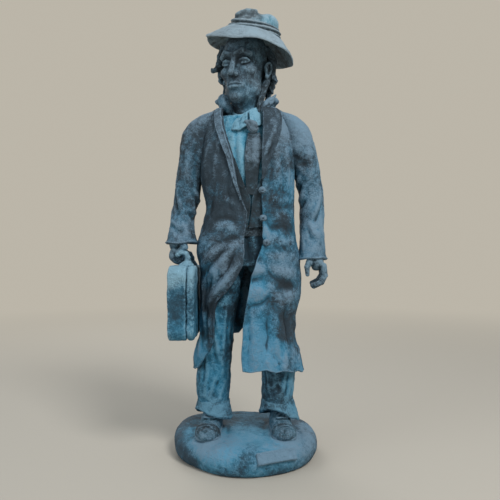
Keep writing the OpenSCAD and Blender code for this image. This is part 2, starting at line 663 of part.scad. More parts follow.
// Folded band round the foot of the crown
module hat_band() {
    function row(z, grow) = crown_ring([z, at(crown_rows, z, 1), at(crown_rows, z, 2)], grow);
    heights = [0.6, 2.2, 4, band_w];
    grows = [1.2, 1.9, 1.4, 0.9];
    color(slate) on_plinth() leaning_hat() tube([for (i = [0:3]) row(heights[i] / k, grows[i] + layer_gap)],
        [for (i = [0:3]) row(heights[i] / k, layer_gap)]);
}

// ---- Suitcase ----
grip_drop = grip_d / 2 + 0.25 + finger_d * k + 1.25;    // from the grip's axis down to the case, past the fingers
grip_z = grip_at[2] * k;
case_top = grip_z - grip_drop;
case_gap = 0.8427;       // between the case and the widest part of the coat beside it
function coat_reach(z) = at(coat_rows, z, 3) - at(coat_rows, z, 1);
case_inner = -k * max([for (t = [0:0.05:1]) coat_reach((case_top - t * case_h) / k)]) - case_gap;
case_mid = [case_inner - case_w / 2, (grip_at[1] + 2) * k];
module case_outline(w) {
    translate([0, case_mid[1], case_top - case_h / 2]) rotate([90, 0, 90]) linear_extrude(w) difference() {
        square([case_l, case_h], center = true);
        for (x = [-1, 1], y = [-1, 1]) translate([x * (case_l / 2 - case_r), y * (case_h / 2 - case_r)]) difference() {
            translate([x * (case_r / 2 + 1), y * (case_r / 2 + 1)]) square(case_r + 2, center = true);
            circle(r = case_r, $fn = 48);
        }
    }
}
case_left = case_mid[0] - case_w / 2;
seam = 0.2;
module case_tray() {
    tray_w = case_w - lid_t - seam;
    color(verdigris) on_plinth() translate([case_left, 0, 0]) case_outline(tray_w);
}
module case_lid() {
    color(verdigris) on_plinth() translate([case_left + case_w - lid_t, 0, 0]) case_outline(lid_t);
}
lug_h = 1.6;
lug_d = 6.4;
module case_handle() {
    x = grip_at[0] * k;
    y = grip_at[1] * k;
    ends = grip_l / 2 - grip_d / 2;
    color(slate) on_plinth() difference() {
        union() {
            translate([x, y - grip_l / 2, grip_z]) rotate([-90, 0, 0]) cylinder(h = grip_l, d = grip_d, $fn = 32);
            for (s = [-1, 1])
                rod([x, y + s * ends, grip_z], [case_mid[0], y + s * ends, case_top], grip_d * 0.92);
        }
        translate([x, y, case_top]) cube([40, grip_l * 2, 2 * (lug_h + fit)], center = true);
    }
}
// Two lugs on the top of the case that the handle's ends are pressed into
module handle_lugs() {
    color(pale) on_plinth() for (s = [-1, 1])
        translate([case_mid[0], grip_at[1] * k + s * (grip_l / 2 - grip_d / 2), case_top])
            cylinder(h = lug_h, d = lug_d, $fn = 32);
}

plinth();
name_tablet();
leg_wire_right();
leg_wire_left();
spine_wire();
arm_wire_right();
arm_wire_left();
torso_core();
leg_core_right();
leg_core_left();
arm_core_right();
arm_core_left();
shoe_right();
shoe_left();
sole_right();
sole_left();
toe_cap_right();
toe_cap_left();
trouser_seat();
waistband();
trouser_leg_right();
trouser_leg_left();
cuff_right();
cuff_left();
shirt_front();
shirt_collar();
tie_knot();
tie_blade();
waistcoat();
coat_back();
coat_front_right();
coat_front_left();
coat_collar();
lapel_right();
lapel_left();
sleeve_right();
sleeve_left();
coat_buttons();
hand_right();
hand_left();
head();
ear_right();
ear_left();
hair_right();
hair_left();
hair_back();
hat_crown();
hat_brim();
hat_band();
case_tray();
case_lid();
case_handle();
handle_lugs();
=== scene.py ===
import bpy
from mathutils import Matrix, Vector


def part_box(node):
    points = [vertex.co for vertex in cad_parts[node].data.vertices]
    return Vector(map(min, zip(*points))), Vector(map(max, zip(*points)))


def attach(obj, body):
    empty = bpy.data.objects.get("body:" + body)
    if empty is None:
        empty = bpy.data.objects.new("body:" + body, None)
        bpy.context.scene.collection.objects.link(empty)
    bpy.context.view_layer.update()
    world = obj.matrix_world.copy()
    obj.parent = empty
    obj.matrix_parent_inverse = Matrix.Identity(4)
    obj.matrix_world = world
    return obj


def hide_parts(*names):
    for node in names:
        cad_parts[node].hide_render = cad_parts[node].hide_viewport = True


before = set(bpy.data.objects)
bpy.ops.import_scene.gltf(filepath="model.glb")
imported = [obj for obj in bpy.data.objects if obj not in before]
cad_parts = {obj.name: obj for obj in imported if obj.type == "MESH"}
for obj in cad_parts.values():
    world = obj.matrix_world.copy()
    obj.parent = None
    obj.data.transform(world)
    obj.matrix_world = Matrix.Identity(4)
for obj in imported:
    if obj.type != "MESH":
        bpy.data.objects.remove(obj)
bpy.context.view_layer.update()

import math

import bpy
import numpy as np
from mathutils import Vector

# ---- Eye, lamps and table ----
# The figure stands on a plain pale table, looked at from straight in front and a little below its chest.
# One large soft lamp hangs high on its left and in front, and a weak one fills from the other side.
scene = bpy.context.scene
scene.view_settings.view_transform = "Standard"
eye = bpy.data.objects.new("eye", bpy.data.cameras.new("eye"))
eye.location = (0.0036, -0.507, 0.179)
eye.rotation_euler = (math.radians(90), 0, 0)
eye.data.lens = 40.32
eye.data.sensor_width = 36
eye.data.shift_y = 0.008
eye.data.clip_start = 0.01
scene.collection.objects.link(eye)
scene.camera = eye


def lamp(name, place, aim, size, watts, tint):
    """A round soft lamp that points at aim."""
    data = bpy.data.lights.new(name, "AREA")
    data.shape = "DISK"
    data.size = size
    data.energy = watts
    data.color = tint
    holder = bpy.data.objects.new(name, data)
    scene.collection.objects.link(holder)
    holder.location = place
    holder.rotation_euler = (holder.location - Vector(aim)).to_track_quat("Z", "Y").to_euler()


lamp("key_lamp", (0.5, -0.72, 0.98), (0, 0, 0.2), 0.42, 11.2, (0.99, 0.985, 0.98))
lamp("fill_lamp", (-0.95, -0.6, 0.45), (0, 0, 0.2), 0.8, 3.2, (0.9, 0.96, 1.0))
lamp("back_lamp", (-0.3, 1.0, 0.8), (0, 0, 0.22), 0.7, 4.5, (1.0, 0.98, 0.95))

cream = (0.50, 0.465, 0.395, 1)
room = bpy.data.worlds.new("room")
scene.world = room
room.use_nodes = True
sky = room.node_tree
sky.nodes.clear()
shown = sky.nodes.new("ShaderNodeBackground")
shown.inputs["Color"].default_value = cream
shown.inputs["Strength"].default_value = 1.0
soft = sky.nodes.new("ShaderNodeBackground")
soft.inputs["Color"].default_value = (0.86, 0.93, 1.0, 1)
soft.inputs["Strength"].default_value = 0.5
rays = sky.nodes.new("ShaderNodeLightPath")
either = sky.nodes.new("ShaderNodeMath")
either.operation = "MAXIMUM"
sky.links.new(rays.outputs["Is Camera Ray"], either.inputs[0])
sky.links.new(rays.outputs["Is Glossy Ray"], either.inputs[1])
both = sky.nodes.new("ShaderNodeMath")
both.operation = "MAXIMUM"
sky.links.new(either.outputs[0], both.inputs[0])
sky.links.new(rays.outputs["Is Transmission Ray"], both.inputs[1])
choose = sky.nodes.new("ShaderNodeMixShader")
sky.links.new(both.outputs[0], choose.inputs[0])
sky.links.new(soft.outputs[0], choose.inputs[1])
sky.links.new(shown.outputs[0], choose.inputs[2])
sky.links.new(choose.outputs[0], sky.nodes.new("ShaderNodeOutputWorld").inputs["Surface"])

table = bpy.data.meshes.new("table_top")
table.from_pydata([(0, 0, 0)] + [(6 * math.cos(i * math.pi / 48), 6 * math.sin(i * math.pi / 48), 0)
                                 for i in range(96)], [], [(0, i + 1, (i + 1) % 96 + 1) for i in range(96)])
table_top = bpy.data.objects.new("table_top", table)
scene.collection.objects.link(table_top)
cloth = bpy.data.materials.new("pale_table")
cloth.use_nodes = True
weave = cloth.node_tree
near = weave.nodes["Principled BSDF"]
near.inputs["Roughness"].default_value = 0.85
near.inputs["Base Color"].default_value = (0.42, 0.39, 0.335, 1)
far = weave.nodes.new("ShaderNodeEmission")
far.inputs["Color"].default_value = cream
spread = weave.nodes.new("ShaderNodeVectorMath")
spread.operation = "LENGTH"
weave.links.new(weave.nodes.new("ShaderNodeTexCoord").outputs["Object"], spread.inputs[0])
fade = weave.nodes.new("ShaderNodeMapRange")
fade.interpolation_type = "SMOOTHSTEP"
fade.inputs["From Min"].default_value = 0.22
fade.inputs["From Max"].default_value = 1.5
weave.links.new(spread.outputs["Value"], fade.inputs["Value"])
melt = weave.nodes.new("ShaderNodeMixShader")
weave.links.new(fade.outputs["Result"], melt.inputs[0])
weave.links.new(near.outputs[0], melt.inputs[1])
weave.links.new(far.outputs[0], melt.inputs[2])
weave.links.new(melt.outputs[0], weave.nodes["Material Output"].inputs["Surface"])
table.materials.append(cloth)

# ---- Plinth ----
# A thick round cake of pasted paper, patted flat on top and rounded over by hand, with paste smeared up against
# the shoes. Like the whole figure it is painted slate, washed with verdigris and dry-brushed with pale grey.
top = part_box("plinth")[1].z            # pieces are drawn in millimetres from the middle of the plinth's flat top


def lumps(p, size, seed):
    """Smooth unevenness left by fingers, between -1 and 1, with its lumps about size apart."""
    q = np.asarray(p, float) / size + seed * 3.7
    cell = np.floor(q).astype(np.int64)
    f = q - cell
    f = f * f * (3 - 2 * f)
    total = np.zeros(len(q))
    for corner in range(8):
        step = np.array([corner & 1, corner >> 1 & 1, corner >> 2])
        c = cell + step
        h = c[:, 0] * 73856093 ^ c[:, 1] * 19349663 ^ c[:, 2] * 83492791 ^ seed * 668265263
        h = (h ^ h >> 13) * 1274126177
        h = h ^ h >> 16
        total += np.prod(np.where(step, f, 1 - f), axis=1) * ((h & 65535) / 32767.5 - 1)
    return total


def hand_worked(p, seed, big, small):
    """How far a surface worked by hand stands out, in millimetres."""
    return big * lumps(p, 9, seed) + 0.6 * big * lumps(p, 4.3, seed + 1) + small * lumps(p, 1.9, seed + 2) \
        + 0.6 * small * lumps(p, 1.05, seed + 3)


def near_spots(points, spots):
    """Adds up soft round patches, each (x, y, z, radius, strength), half as strict in depth."""
    total = np.zeros(len(points))
    for x, y, z, r, strength in spots:
        d = (points - [x, y, z]) * [1, 0.5, 1] / r
        total += strength * np.exp(-(d * d).sum(1))
    return total


def patina(name, ground, wash, brushed, speckle=0.3):
    """Paint in three coats: a dark ground, a thin wash in patches, and a pale dry brush on what stands out.
    The piece's own ridge, wash and dry brush values say where each lies; the wash and dry brush values also carry
    the painted light and painted shade laid on some pieces."""
    m = bpy.data.materials.new(name)
    m.use_nodes = True
    t = m.node_tree
    skin = t.nodes["Principled BSDF"]
    place = t.nodes.new("ShaderNodeTexCoord").outputs["Object"]

    def mottle(scale, detail, rough, distort=0.0):
        """Cloudiness between about -1 and 1."""
        n = t.nodes.new("ShaderNodeTexNoise")
        n.inputs["Scale"].default_value = scale
        n.inputs["Detail"].default_value = detail
        n.inputs["Roughness"].default_value = rough
        n.inputs["Distortion"].default_value = distort
        t.links.new(place, n.inputs["Vector"])
        return weigh(-2.0, (n.outputs["Fac"], 4.0))

    def laid(kind):
        a = t.nodes.new("ShaderNodeAttribute")
        a.attribute_name = kind
        return a.outputs["Fac"]

    def weigh(start, *terms):
        """start, and each socket times its factor, added up."""
        for socket, factor in terms:
            n = t.nodes.new("ShaderNodeMath")
            n.operation = "MULTIPLY_ADD"
            t.links.new(socket, n.inputs[0])
            n.inputs[1].default_value = factor
            if isinstance(start, float):
                n.inputs[2].default_value = start
            else:
                t.links.new(start, n.inputs[2])
            start = n.outputs[0]
        return start

    def ramp(value, low, high, reach=1.0):
        n = t.nodes.new("ShaderNodeMapRange")
        n.interpolation_type = "SMOOTHSTEP"
        n.inputs["From Min"].default_value = low
        n.inputs["From Max"].default_value = high
        n.inputs["To Max"].default_value = reach
        t.links.new(value, n.inputs["Value"])
        return n.outputs["Result"]

    def coat(under, over, amount):
        n = t.nodes.new("ShaderNodeMix")
        n.data_type = "RGBA"
        for index, value in ((6, under), (7, over)):
            if isinstance(value, tuple):
                n.inputs[index].default_value = value + (1,)
            else:
                t.links.new(value, n.inputs[index])
        t.links.new(amount, n.inputs[0])
        return n.outputs[2]

    clouds, blots = mottle(34, 3, 0.55), mottle(85, 4, 0.62, 0.4)
    worn, grain = mottle(300, 5, 0.72, 0.6), mottle(1000, 3, 0.7)
    ridge, wash_and_light_amount, dry_brush_and_light_amount = laid("ridge"), laid("wash"), laid("dry_brush_and_light")
    colour = coat(tuple(c * 0.6 for c in ground), tuple(c * 1.15 for c in ground),
                  ramp(weigh(0.0, (blots, 0.6), (worn, 0.5)), -0.8, 0.8))
    colour = coat(colour, wash,
                  ramp(weigh(0.0, (wash_and_light_amount, 1.0), (clouds, 0.3), (blots, 0.22), (worn, 0.22), (grain, 0.1)),
                       0.1, 0.86, 0.94))
    milky = tuple(0.9 * a + 0.42 * b for a, b in zip(wash, brushed))
    colour = coat(colour, milky,
                  ramp(weigh(0.0, (wash_and_light_amount, 0.8), (clouds, 0.14), (worn, 0.36), (blots, 0.2), (ridge, 0.26),
                             (grain, 0.22)), 0.34, 1.0, 0.85))
    colour = coat(colour, tuple(c * 0.3 for c in ground),
                  ramp(weigh(0.0, (ridge, -1.0), (worn, 0.14)), 0.12, 1.0, 0.8))
    colour = coat(colour, brushed,
                  ramp(weigh(0.0, (dry_brush_and_light_amount, 1.0), (ridge, 0.34), (worn, 0.32), (grain, 0.26), (clouds, 0.14),
                             (blots, 0.2)), 0.12, 0.92, 0.85))
    pale = tuple(min(1.0, c * 1.5 + 0.03) for c in brushed)
    colour = coat(colour, pale,
                  ramp(weigh(0.0, (grain, 0.9), (worn, 0.5), (dry_brush_and_light_amount, 0.5), (ridge, 0.2)), 0.95, 1.5, speckle))
    t.links.new(colour, skin.inputs["Base Color"])
    rough = t.nodes.new("ShaderNodeMapRange")
    dull = 0.72
    rough.inputs["From Min"].default_value = -1.0
    rough.inputs["To Min"].default_value = dull - 0.12
    rough.inputs["To Max"].default_value = dull + 0.12
    t.links.new(weigh(0.0, (worn, 0.7), (blots, 0.3)), rough.inputs["Value"])
    t.links.new(rough.outputs["Result"], skin.inputs["Roughness"])
    skin.inputs["Specular IOR Level"].default_value = 0.3
    bump = t.nodes.new("ShaderNodeBump")
    bump.inputs["Strength"].default_value = 0.8
    bump.inputs["Distance"].default_value = 0.0007
    t.links.new(weigh(0.0, (worn, 0.8), (grain, 0.35), (blots, 0.5)), bump.inputs["Height"])
    t.links.new(bump.outputs["Normal"], skin.inputs["Normal"])
    return m


def press(name, points, faces, paint, nodes, wash=0.3, dry_brush_and_light=0.3, wash_and_light_spots=(), dry_brush_and_light_spots=(), rounds=9, settle=0.42):
    """Makes one painted piece of the figure, which stands for its solids in the frame."""
    points = np.asarray(points, float)
    mesh = bpy.data.meshes.new(name)
    mesh.from_pydata((points * 0.001 + [0, 0, top]).tolist(), [], faces if isinstance(faces, list) else faces.tolist())
    mesh.update()
    mesh.shade_smooth()
    n = len(points)
    edges = np.empty(len(mesh.edges) * 2, np.int32)
    mesh.edges.foreach_get("vertices", edges)
    a, b = edges.reshape(-1, 2).T
    normals = np.empty(n * 3)
    mesh.vertex_normals.foreach_get("vector", normals)
    normals = normals.reshape(-1, 3)
    count = np.bincount(a, minlength=n) + np.bincount(b, minlength=n)
    eased = points.copy()
    for _ in range(rounds):
        eased = np.stack([np.bincount(a, eased[b, c], n) + np.bincount(b, eased[a, c], n) for c in range(3)],
                         1) / count[:, None]
    ridge = np.clip(((points - eased) * normals).sum(1) / settle, -1, 1)
    for _ in range(2):
        ridge = 0.4 * ridge + 0.6 * (np.bincount(a, ridge[b], n) + np.bincount(b, ridge[a], n)) / count
    # Faces turned upwards get more of the pale dry brush and faces turned downwards less: partly dust and wear on the
    # tops, partly painted light from above and painted shade underneath. The spots add each piece's own wash and dry
    # brush, and on some pieces painted highlights and painted lifts of shade as well.
    for kind, value in (("ridge", ridge), ("wash", wash + near_spots(points, wash_and_light_spots)),
                        ("dry_brush_and_light", dry_brush_and_light + near_spots(points, dry_brush_and_light_spots) + 0.16 * np.clip(normals[:, 2], -0.6, 1))):
        mesh.attributes.new(kind, "FLOAT", "POINT").data.foreach_set("value", value.astype(np.float32))
    mesh.materials.append(paint)
    piece = bpy.data.objects.new(name, mesh)
    scene.collection.objects.link(piece)
    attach(piece, "root")
    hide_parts(*nodes)
    return piece


def outward(points, faces):
    """Unit normals of a grid's or a lump's points."""
    mesh = bpy.data.meshes.new("try")
    mesh.from_pydata(points.tolist(), [], faces if isinstance(faces, list) else faces.tolist())
    mesh.update()
    normals = np.empty(len(points) * 3)
    mesh.vertex_normals.foreach_get("vector", normals)
    bpy.data.meshes.remove(mesh)
    return normals.reshape(-1, 3)


def tube(rings):
    """Closed skin over rings of points that run counter-clockwise seen from above, first ring lowest or innermost."""
    rows, n = rings.shape[:2]
    points = np.concatenate([rings.reshape(-1, 3), rings[:1].mean(1), rings[-1:].mean(1)])
    i, j = np.meshgrid(np.arange(rows - 1), np.arange(n), indexing="ij")
    a, b = i * n + j, i * n + (j + 1) % n
    quads = np.stack([a, b, b + n, a + n], -1).reshape(-1, 4).tolist()
    end = (rows - 1) * n
    caps = [[rows * n, (k + 1) % n, k] for k in range(n)]
    caps += [[rows * n + 1, end + k, end + (k + 1) % n] for k in range(n)]
    return points, quads + caps


def curve(x, xs, ys):
    """Smooth curve through the points (xs, ys)."""
    xs, ys = np.asarray(xs, float), np.asarray(ys, float)
    slope = np.gradient(ys, xs)
    i = np.clip(np.searchsorted(xs, x) - 1, 0, len(xs) - 2)
    h = xs[i + 1] - xs[i]
    t = np.clip((x - xs[i]) / h, 0, 1)
    return ((1 + 2 * t) * (1 - t) ** 2 * ys[i] + t * (1 - t) ** 2 * h * slope[i]
            + t * t * (3 - 2 * t) * ys[i + 1] + t * t * (t - 1) * h * slope[i + 1])


slate = (0.030, 0.053, 0.074)
verdigris = (0.024, 0.180, 0.300)
ash = (0.160, 0.250, 0.330)
plinth_paint = patina("plinth_patina", (0.030, 0.072, 0.110), (0.042, 0.215, 0.335), (0.150, 0.235, 0.310),
                      speckle=0.4)

plinth_high, plinth_steps = 22, 260
outline = np.array([[0, 0], [56, 0], [60.6, 0.5], [62.4, 3], [63.7, 7], [64, 11], [63.1, 14.8], [60.4, 18.2],
                    [56, 20.6], [50.5, 21.9], [47, 22], [0, 22]])
step = np.concatenate([[0], np.cumsum(np.hypot(*np.diff(outline, axis=0).T))])
along = np.concatenate([np.linspace(3, step[1], 26), np.linspace(step[1] + 0.9, step[10], 46),
                        np.linspace(step[10] + 1.5, step[-1] - 3, 34)])
r, z = np.interp(along, step, outline[:, 0]), np.interp(along, step, outline[:, 1])
for _ in range(2):                     # ease the outline where it turns over
    r[27:71] = (r[26:70] + 2 * r[27:71] + r[28:72]) / 4
    z[27:71] = (z[26:70] + 2 * z[27:71] + z[28:72]) / 4
turn = np.linspace(0, 2 * np.pi, plinth_steps, endpoint=False)
# The cake isn't quite round: it bulges behind each foot, more behind the right one, where its rim also stands higher.
behind = np.degrees(turn)
bulge = (1 + 0.12 * np.exp(-((behind - 143) / 27) ** 2) + 0.06 * np.exp(-((behind - 42) / 24) ** 2)
         - 0.05 * np.exp(-((behind - 224) / 22) ** 2))
rim = np.exp(-((r - 57) / 8) ** 2) * (z > 8)
rings = np.stack([np.outer(r, bulge * np.cos(turn)), np.outer(r, bulge * np.sin(turn)),
                  z[:, None] - plinth_high + 2.2 * rim[:, None] * np.exp(-((behind - 155) / 34) ** 2)
                  + 0.8 * rim[:, None] * np.exp(-((behind - 30) / 30) ** 2)], -1)
points, faces = tube(rings)
away = outward(points, faces)
worked = (0.75 * lumps(points, 21, 3) + 0.38 * lumps(points, 8, 4) + 0.16 * lumps(points, 3.6, 5)
          + 0.07 * lumps(points, 1.7, 6))
flat = np.clip((points[:, 2] + 21.6) / 2.5, 0, 1)
points += away * (worked * flat * np.where(points[:, 2] > -0.6, 0.5, 1.0))[:, None]
shoe_at = [((s * 30.6, 3.5), (s * 32.8, -29.4)) for s in (-1, 1)]


def past_shoes(x, y):
    """Distance on the plinth from the nearer shoe's outline."""
    best = np.full(len(x), 99.0)
    for (hx, hy), (tx, ty) in shoe_at:
        t = np.clip(((x - hx) * (tx - hx) + (y - hy) * (ty - hy)) / ((tx - hx) ** 2 + (ty - hy) ** 2), 0, 1)
        best = np.minimum(best, np.hypot(x - hx - t * (tx - hx), y - hy - t * (ty - hy)) - 9.6 - 1.8 * t)
    return best


gap = past_shoes(points[:, 0], points[:, 1])
on_top = points[:, 2] > -4
points[:, 2] += on_top * 1.1 * np.exp(-(np.clip(gap, 0, 99) / 2.6) ** 2)
points[:, 2] -= on_top * 0.5 * np.exp(-((gap - 5.5) / 2.0) ** 2) * (lumps(points, 6, 9) > -0.2)
# The strong wash and dry-brush patches on the top round the toes are partly verdigris paint and partly painted light,
# lifting the shade that the shoes and legs throw there.
press("plinth_body", points, faces, plinth_paint, ["plinth"], wash=0.15, dry_brush_and_light=0.1,
      wash_and_light_spots=[(0, -20, 0, 24, 0.3), (-28, -46, 0, 14, 1.3), (-32, -40, 1, 9, 0.5), (34, -46, 0, 11, 1.3),
              (-14, -40, 0, 12, 1.3), (-58, -14, -8, 14, -0.4), (4, -52, -4, 14, -0.16), (-40, -52, -10, 12, -0.2),
              (12, -20, 0, 14, 0.3), (0, 10, 0, 40, 0.1), (-52, -20, -2, 12, 0.4), (-48, 8, -2, 12, 0.35),
              (16, -50, -3, 12, 0.3), (52, -24, -3, 12, 0.3), (8, -62, -17, 12, 0.35), (-30, -54, -14, 14, 0.3),
              (38, -48, -16, 12, 0.25)],
      dry_brush_and_light_spots=[(-40, -46, -6, 16, 0.1), (48, -36, -6, 16, 0.3), (-14, -38, 0, 11, 0.3), (-33, -44, 1, 11, 0.4),
            (34, -44, 1, 11, 0.4), (54, -10, -2, 14, 0.3), (-56, -12, -8, 16, -0.25), (-30, -46, 0, 10, 0.15)],
      settle=0.6)

# ---- Name tablet ----
# A small blank slab of the same paste, cut with a knife and let into the plinth's front slope while both were wet.
# Its edge is pinched up into a low rim.


def without_crumbs(points, faces):
    """Drops the loose crumbs beside a lump, and keeps each part that is at least a tenth of the biggest."""
    part = np.arange(len(points))
    while True:
        joined_to = part.copy()
        np.minimum.at(joined_to, faces.ravel(), np.repeat(part[faces].min(1), 4))
        joined_to = joined_to[joined_to]
        if (joined_to == part).all():
            break
        part = joined_to
    size = np.bincount(part, minlength=len(points))
    keep = size[part] >= 0.1 * size.max()
    number = np.cumsum(keep) - 1
    return points[keep], number[faces[keep[faces[:, 0]]]]


def knead(field, low, high, cell):
    """Skin of a lump of paste. field gives each point's distance from the skin, below 0 inside."""
    low = np.asarray(low, float)
    axes = [np.arange(a, b + cell, cell) for a, b in zip(low, high)]
    grid = np.stack(np.meshgrid(*axes, indexing="ij"), -1)
    d = field(grid.reshape(-1, 3)).reshape(grid.shape[:3])
    d, low = np.pad(d, 1, constant_values=cell), low - cell     # nothing stays open where the block of paste ends
    inside = d < 0
    n = np.array(d.shape)
    corners = [(i, j, k) for i in (0, 1) for j in (0, 1) for k in (0, 1)]
    filled = sum(inside[tuple(slice(c[a], n[a] - 1 + c[a]) for a in range(3))].astype(np.int8) for c in corners)
    live = (filled > 0) & (filled < 8)
    number = np.full(live.shape, -1)
    number[live] = np.arange(live.sum())
    at = np.argwhere(live)
    total, hits = np.zeros((len(at), 3)), np.zeros(len(at))
    for c in corners:
        for axis in range(3):
            if c[axis]:
                continue
            p, q = at + c, at + c
            q[:, axis] += 1
            dp, dq = d[tuple(p.T)], d[tuple(q.T)]
            cross = (dp < 0) != (dq < 0)
            spot = p[cross].astype(float)
            spot[:, axis] += dp[cross] / (dp[cross] - dq[cross])
            total[cross] += spot
            hits[cross] += 1
    points = total / hits[:, None] * cell + low
    faces = []
    for axis in range(3):
        u, v = (axis + 1) % 3, (axis + 2) % 3
        lo, hi = [slice(None)] * 3, [slice(None)] * 3
        lo[axis], hi[axis] = slice(0, n[axis] - 1), slice(1, n[axis])
        e = np.argwhere(inside[tuple(lo)] != inside[tuple(hi)])
        e = e[(e[:, u] > 0) & (e[:, v] > 0) & (e[:, u] < n[u] - 1) & (e[:, v] < n[v] - 1)]
        ring = []
        for du, dv in ((1, 1), (0, 1), (0, 0), (1, 0)):
            c = e.copy()
            c[:, u] -= du
            c[:, v] -= dv
            ring.append(number[tuple(c.T)])
        quad = np.stack(ring, 1)
        out = inside[tuple(e.T)]
        faces.append(np.where(out[:, None], quad, quad[:, ::-1]))
    return without_crumbs(points, np.concatenate(faces))


def ball(p, centre, radius):
    """Distance from an egg with one radius or three."""
    radius = np.broadcast_to(np.asarray(radius, float), 3)
    q = p - centre
    k0 = np.linalg.norm(q / radius, axis=1)
    k1 = np.linalg.norm(q / radius ** 2, axis=1)
    return k0 * (k0 - 1) / np.maximum(k1, 1e-6)


def roll(p, a, b, ra, rb=None):
    """Distance from a roll of paste between two points, thick ra at one end and rb at the other."""
    a, b = np.asarray(a, float), np.asarray(b, float)
    rb = ra if rb is None else rb
    t = np.clip(((p - a) @ (b - a)) / ((b - a) @ (b - a)), 0, 1)
    return np.linalg.norm(p - a - t[:, None] * (b - a), axis=1) - (ra + t * (rb - ra))


def blend(d, e, soft):
    """Two lumps pressed together, with the joint smoothed over."""
    h = np.clip(0.5 + 0.5 * (e - d) / soft, 0, 1)
    return e + h * (d - e) - soft * h * (1 - h)


def strung(p, knots, r, soft=0.5):
    """A roll laid along several points, given as (x, y, z) or (x, y, z, r)."""
    d = None
    for a, b in zip(knots, knots[1:]):
        ra, rb = (a[3] if len(a) > 3 else r), (b[3] if len(b) > 3 else r)
        e = roll(p, a[:3], b[:3], ra, rb)
        d = e if d is None else blend(d, e, soft)
    return d


def scoop(d, e, soft):
    """The first lump with the second pressed out of it."""
    return -blend(-d, e, soft)


def slab(p, half, corner):
    """Distance from a block with rounded edges."""
    q = np.abs(p) - (np.asarray(half, float) - corner)
    return np.linalg.norm(np.maximum(q, 0), axis=1) + np.minimum(q.max(1), 0) - corner


def tablet_field(p):
    wide, tall, thick = 17.3, 4.9, 1.45
    d = slab(p - [0, 0, -0.35], [wide, tall, thick], 0.9)
    rim = np.minimum(wide - np.abs(p[:, 0]), tall - np.abs(p[:, 1]))
    d -= 0.3 * np.exp(-((rim - 1.0) / 0.8) ** 2) * np.clip(p[:, 2], 0, 1)
    return d - 0.2 * lumps(p, 9, 24)


points, faces = knead(tablet_field, (-19, -6.6, -2.6), (19, 6.6, 3), 0.32)
tilt, round_by = math.radians(52), math.radians(24)
points[:, 2] += 3.5 - 0.004 * points[:, 0] ** 2
y = points[:, 1] * math.cos(tilt) - points[:, 2] * math.sin(tilt) - 59.8
z = points[:, 1] * math.sin(tilt) + points[:, 2] * math.cos(tilt)
points = np.stack([points[:, 0] * math.cos(round_by) - y * math.sin(round_by),
                   points[:, 0] * math.sin(round_by) + y * math.cos(round_by), z - 7.6], 1)
press("name_tablet_blank", points, faces, plinth_paint, ["name_tablet"], wash=0.55, dry_brush_and_light=0.78,
      settle=1.2, rounds=6)

# ---- Wires and padding ----
# Five lengths of annealed steel wire carry the figure: the leg wires end in holes in the plinth. Crumpled newspaper is
# wound and pasted round them to fill the body and the limbs, and the skins are pressed on over it. None of it shows.
steel = bpy.data.materials.new("annealed_wire")
steel.use_nodes = True
t = steel.node_tree
metal = t.nodes["Principled BSDF"]
metal.inputs["Metallic"].default_value = 1.0
metal.inputs["Roughness"].default_value = 0.42
scale_marks = t.nodes.new("ShaderNodeTexNoise")
scale_marks.inputs["Scale"].default_value = 600
t.links.new(t.nodes.new("ShaderNodeTexCoord").outputs["Object"], scale_marks.inputs["Vector"])
tones = t.nodes.new("ShaderNodeValToRGB")
tones.color_ramp.elements[0].color = (0.10, 0.09, 0.085, 1)
tones.color_ramp.elements[1].color = (0.36, 0.34, 0.33, 1)
t.links.new(scale_marks.outputs["Fac"], tones.inputs["Fac"])
t.links.new(tones.outputs["Color"], metal.inputs["Base Color"])
for name in ("leg_wire_right", "leg_wire_left", "spine_wire", "arm_wire_right", "arm_wire_left"):
    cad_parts[name].data.materials.clear()
    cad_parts[name].data.materials.append(steel)

newspaper = bpy.data.materials.new("pasted_newspaper")
newspaper.use_nodes = True
t = newspaper.node_tree
pulp = t.nodes["Principled BSDF"]
pulp.inputs["Roughness"].default_value = 0.92
here = t.nodes.new("ShaderNodeTexCoord").outputs["Object"]
scraps = t.nodes.new("ShaderNodeTexVoronoi")
scraps.inputs["Scale"].default_value = 110
print_lines = t.nodes.new("ShaderNodeTexWave")
print_lines.inputs["Scale"].default_value = 260
print_lines.inputs["Distortion"].default_value = 9
paper_tone = t.nodes.new("ShaderNodeMix")
paper_tone.data_type = "RGBA"
paper_tone.inputs[6].default_value = (0.56, 0.52, 0.43, 1)
paper_tone.inputs[7].default_value = (0.24, 0.23, 0.22, 1)
less = t.nodes.new("ShaderNodeMath")
less.operation = "MULTIPLY"
crumple = t.nodes.new("ShaderNodeBump")
crumple.inputs["Distance"].default_value = 0.0015
for node in (scraps, print_lines):
    t.links.new(here, node.inputs["Vector"])
t.links.new(print_lines.outputs["Fac"], less.inputs[0])
t.links.new(scraps.outputs["Distance"], less.inputs[1])
t.links.new(less.outputs[0], paper_tone.inputs[0])
t.links.new(paper_tone.outputs[2], pulp.inputs["Base Color"])
t.links.new(scraps.outputs["Distance"], crumple.inputs["Height"])
t.links.new(crumple.outputs["Normal"], pulp.inputs["Normal"])
for name in ("torso_core", "leg_core_right", "leg_core_left", "arm_core_right", "arm_core_left"):
    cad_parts[name].data.materials.clear()
    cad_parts[name].data.materials.append(newspaper)

# ---- Shoes ----
# Each shoe is a lump of paste on a flat sole, with a toe cap laid over its front, laces scored across the instep and
# a worn, rubbed toe. They stand 60 mm apart with the toes turned out a little, pasted down to the plinth.
dark_paint = patina("dark_patina", (0.024, 0.042, 0.056), (0.034, 0.155, 0.235), (0.150, 0.225, 0.290))
shoe_from_heel = [-6, -3, 0, 3, 12, 22, 31, 40, 45.5, 50, 52.6, 54]
shoe_half = [1, 3.4, 5.6, 7.4, 9.3, 9.0, 9.2, 9.4, 9.0, 8.0, 7.4, 7.0]
shoe_high = [9, 14, 17, 19.4, 20.4, 16.4, 12.2, 10.7, 10.0, 7.8, 5.6, 3]


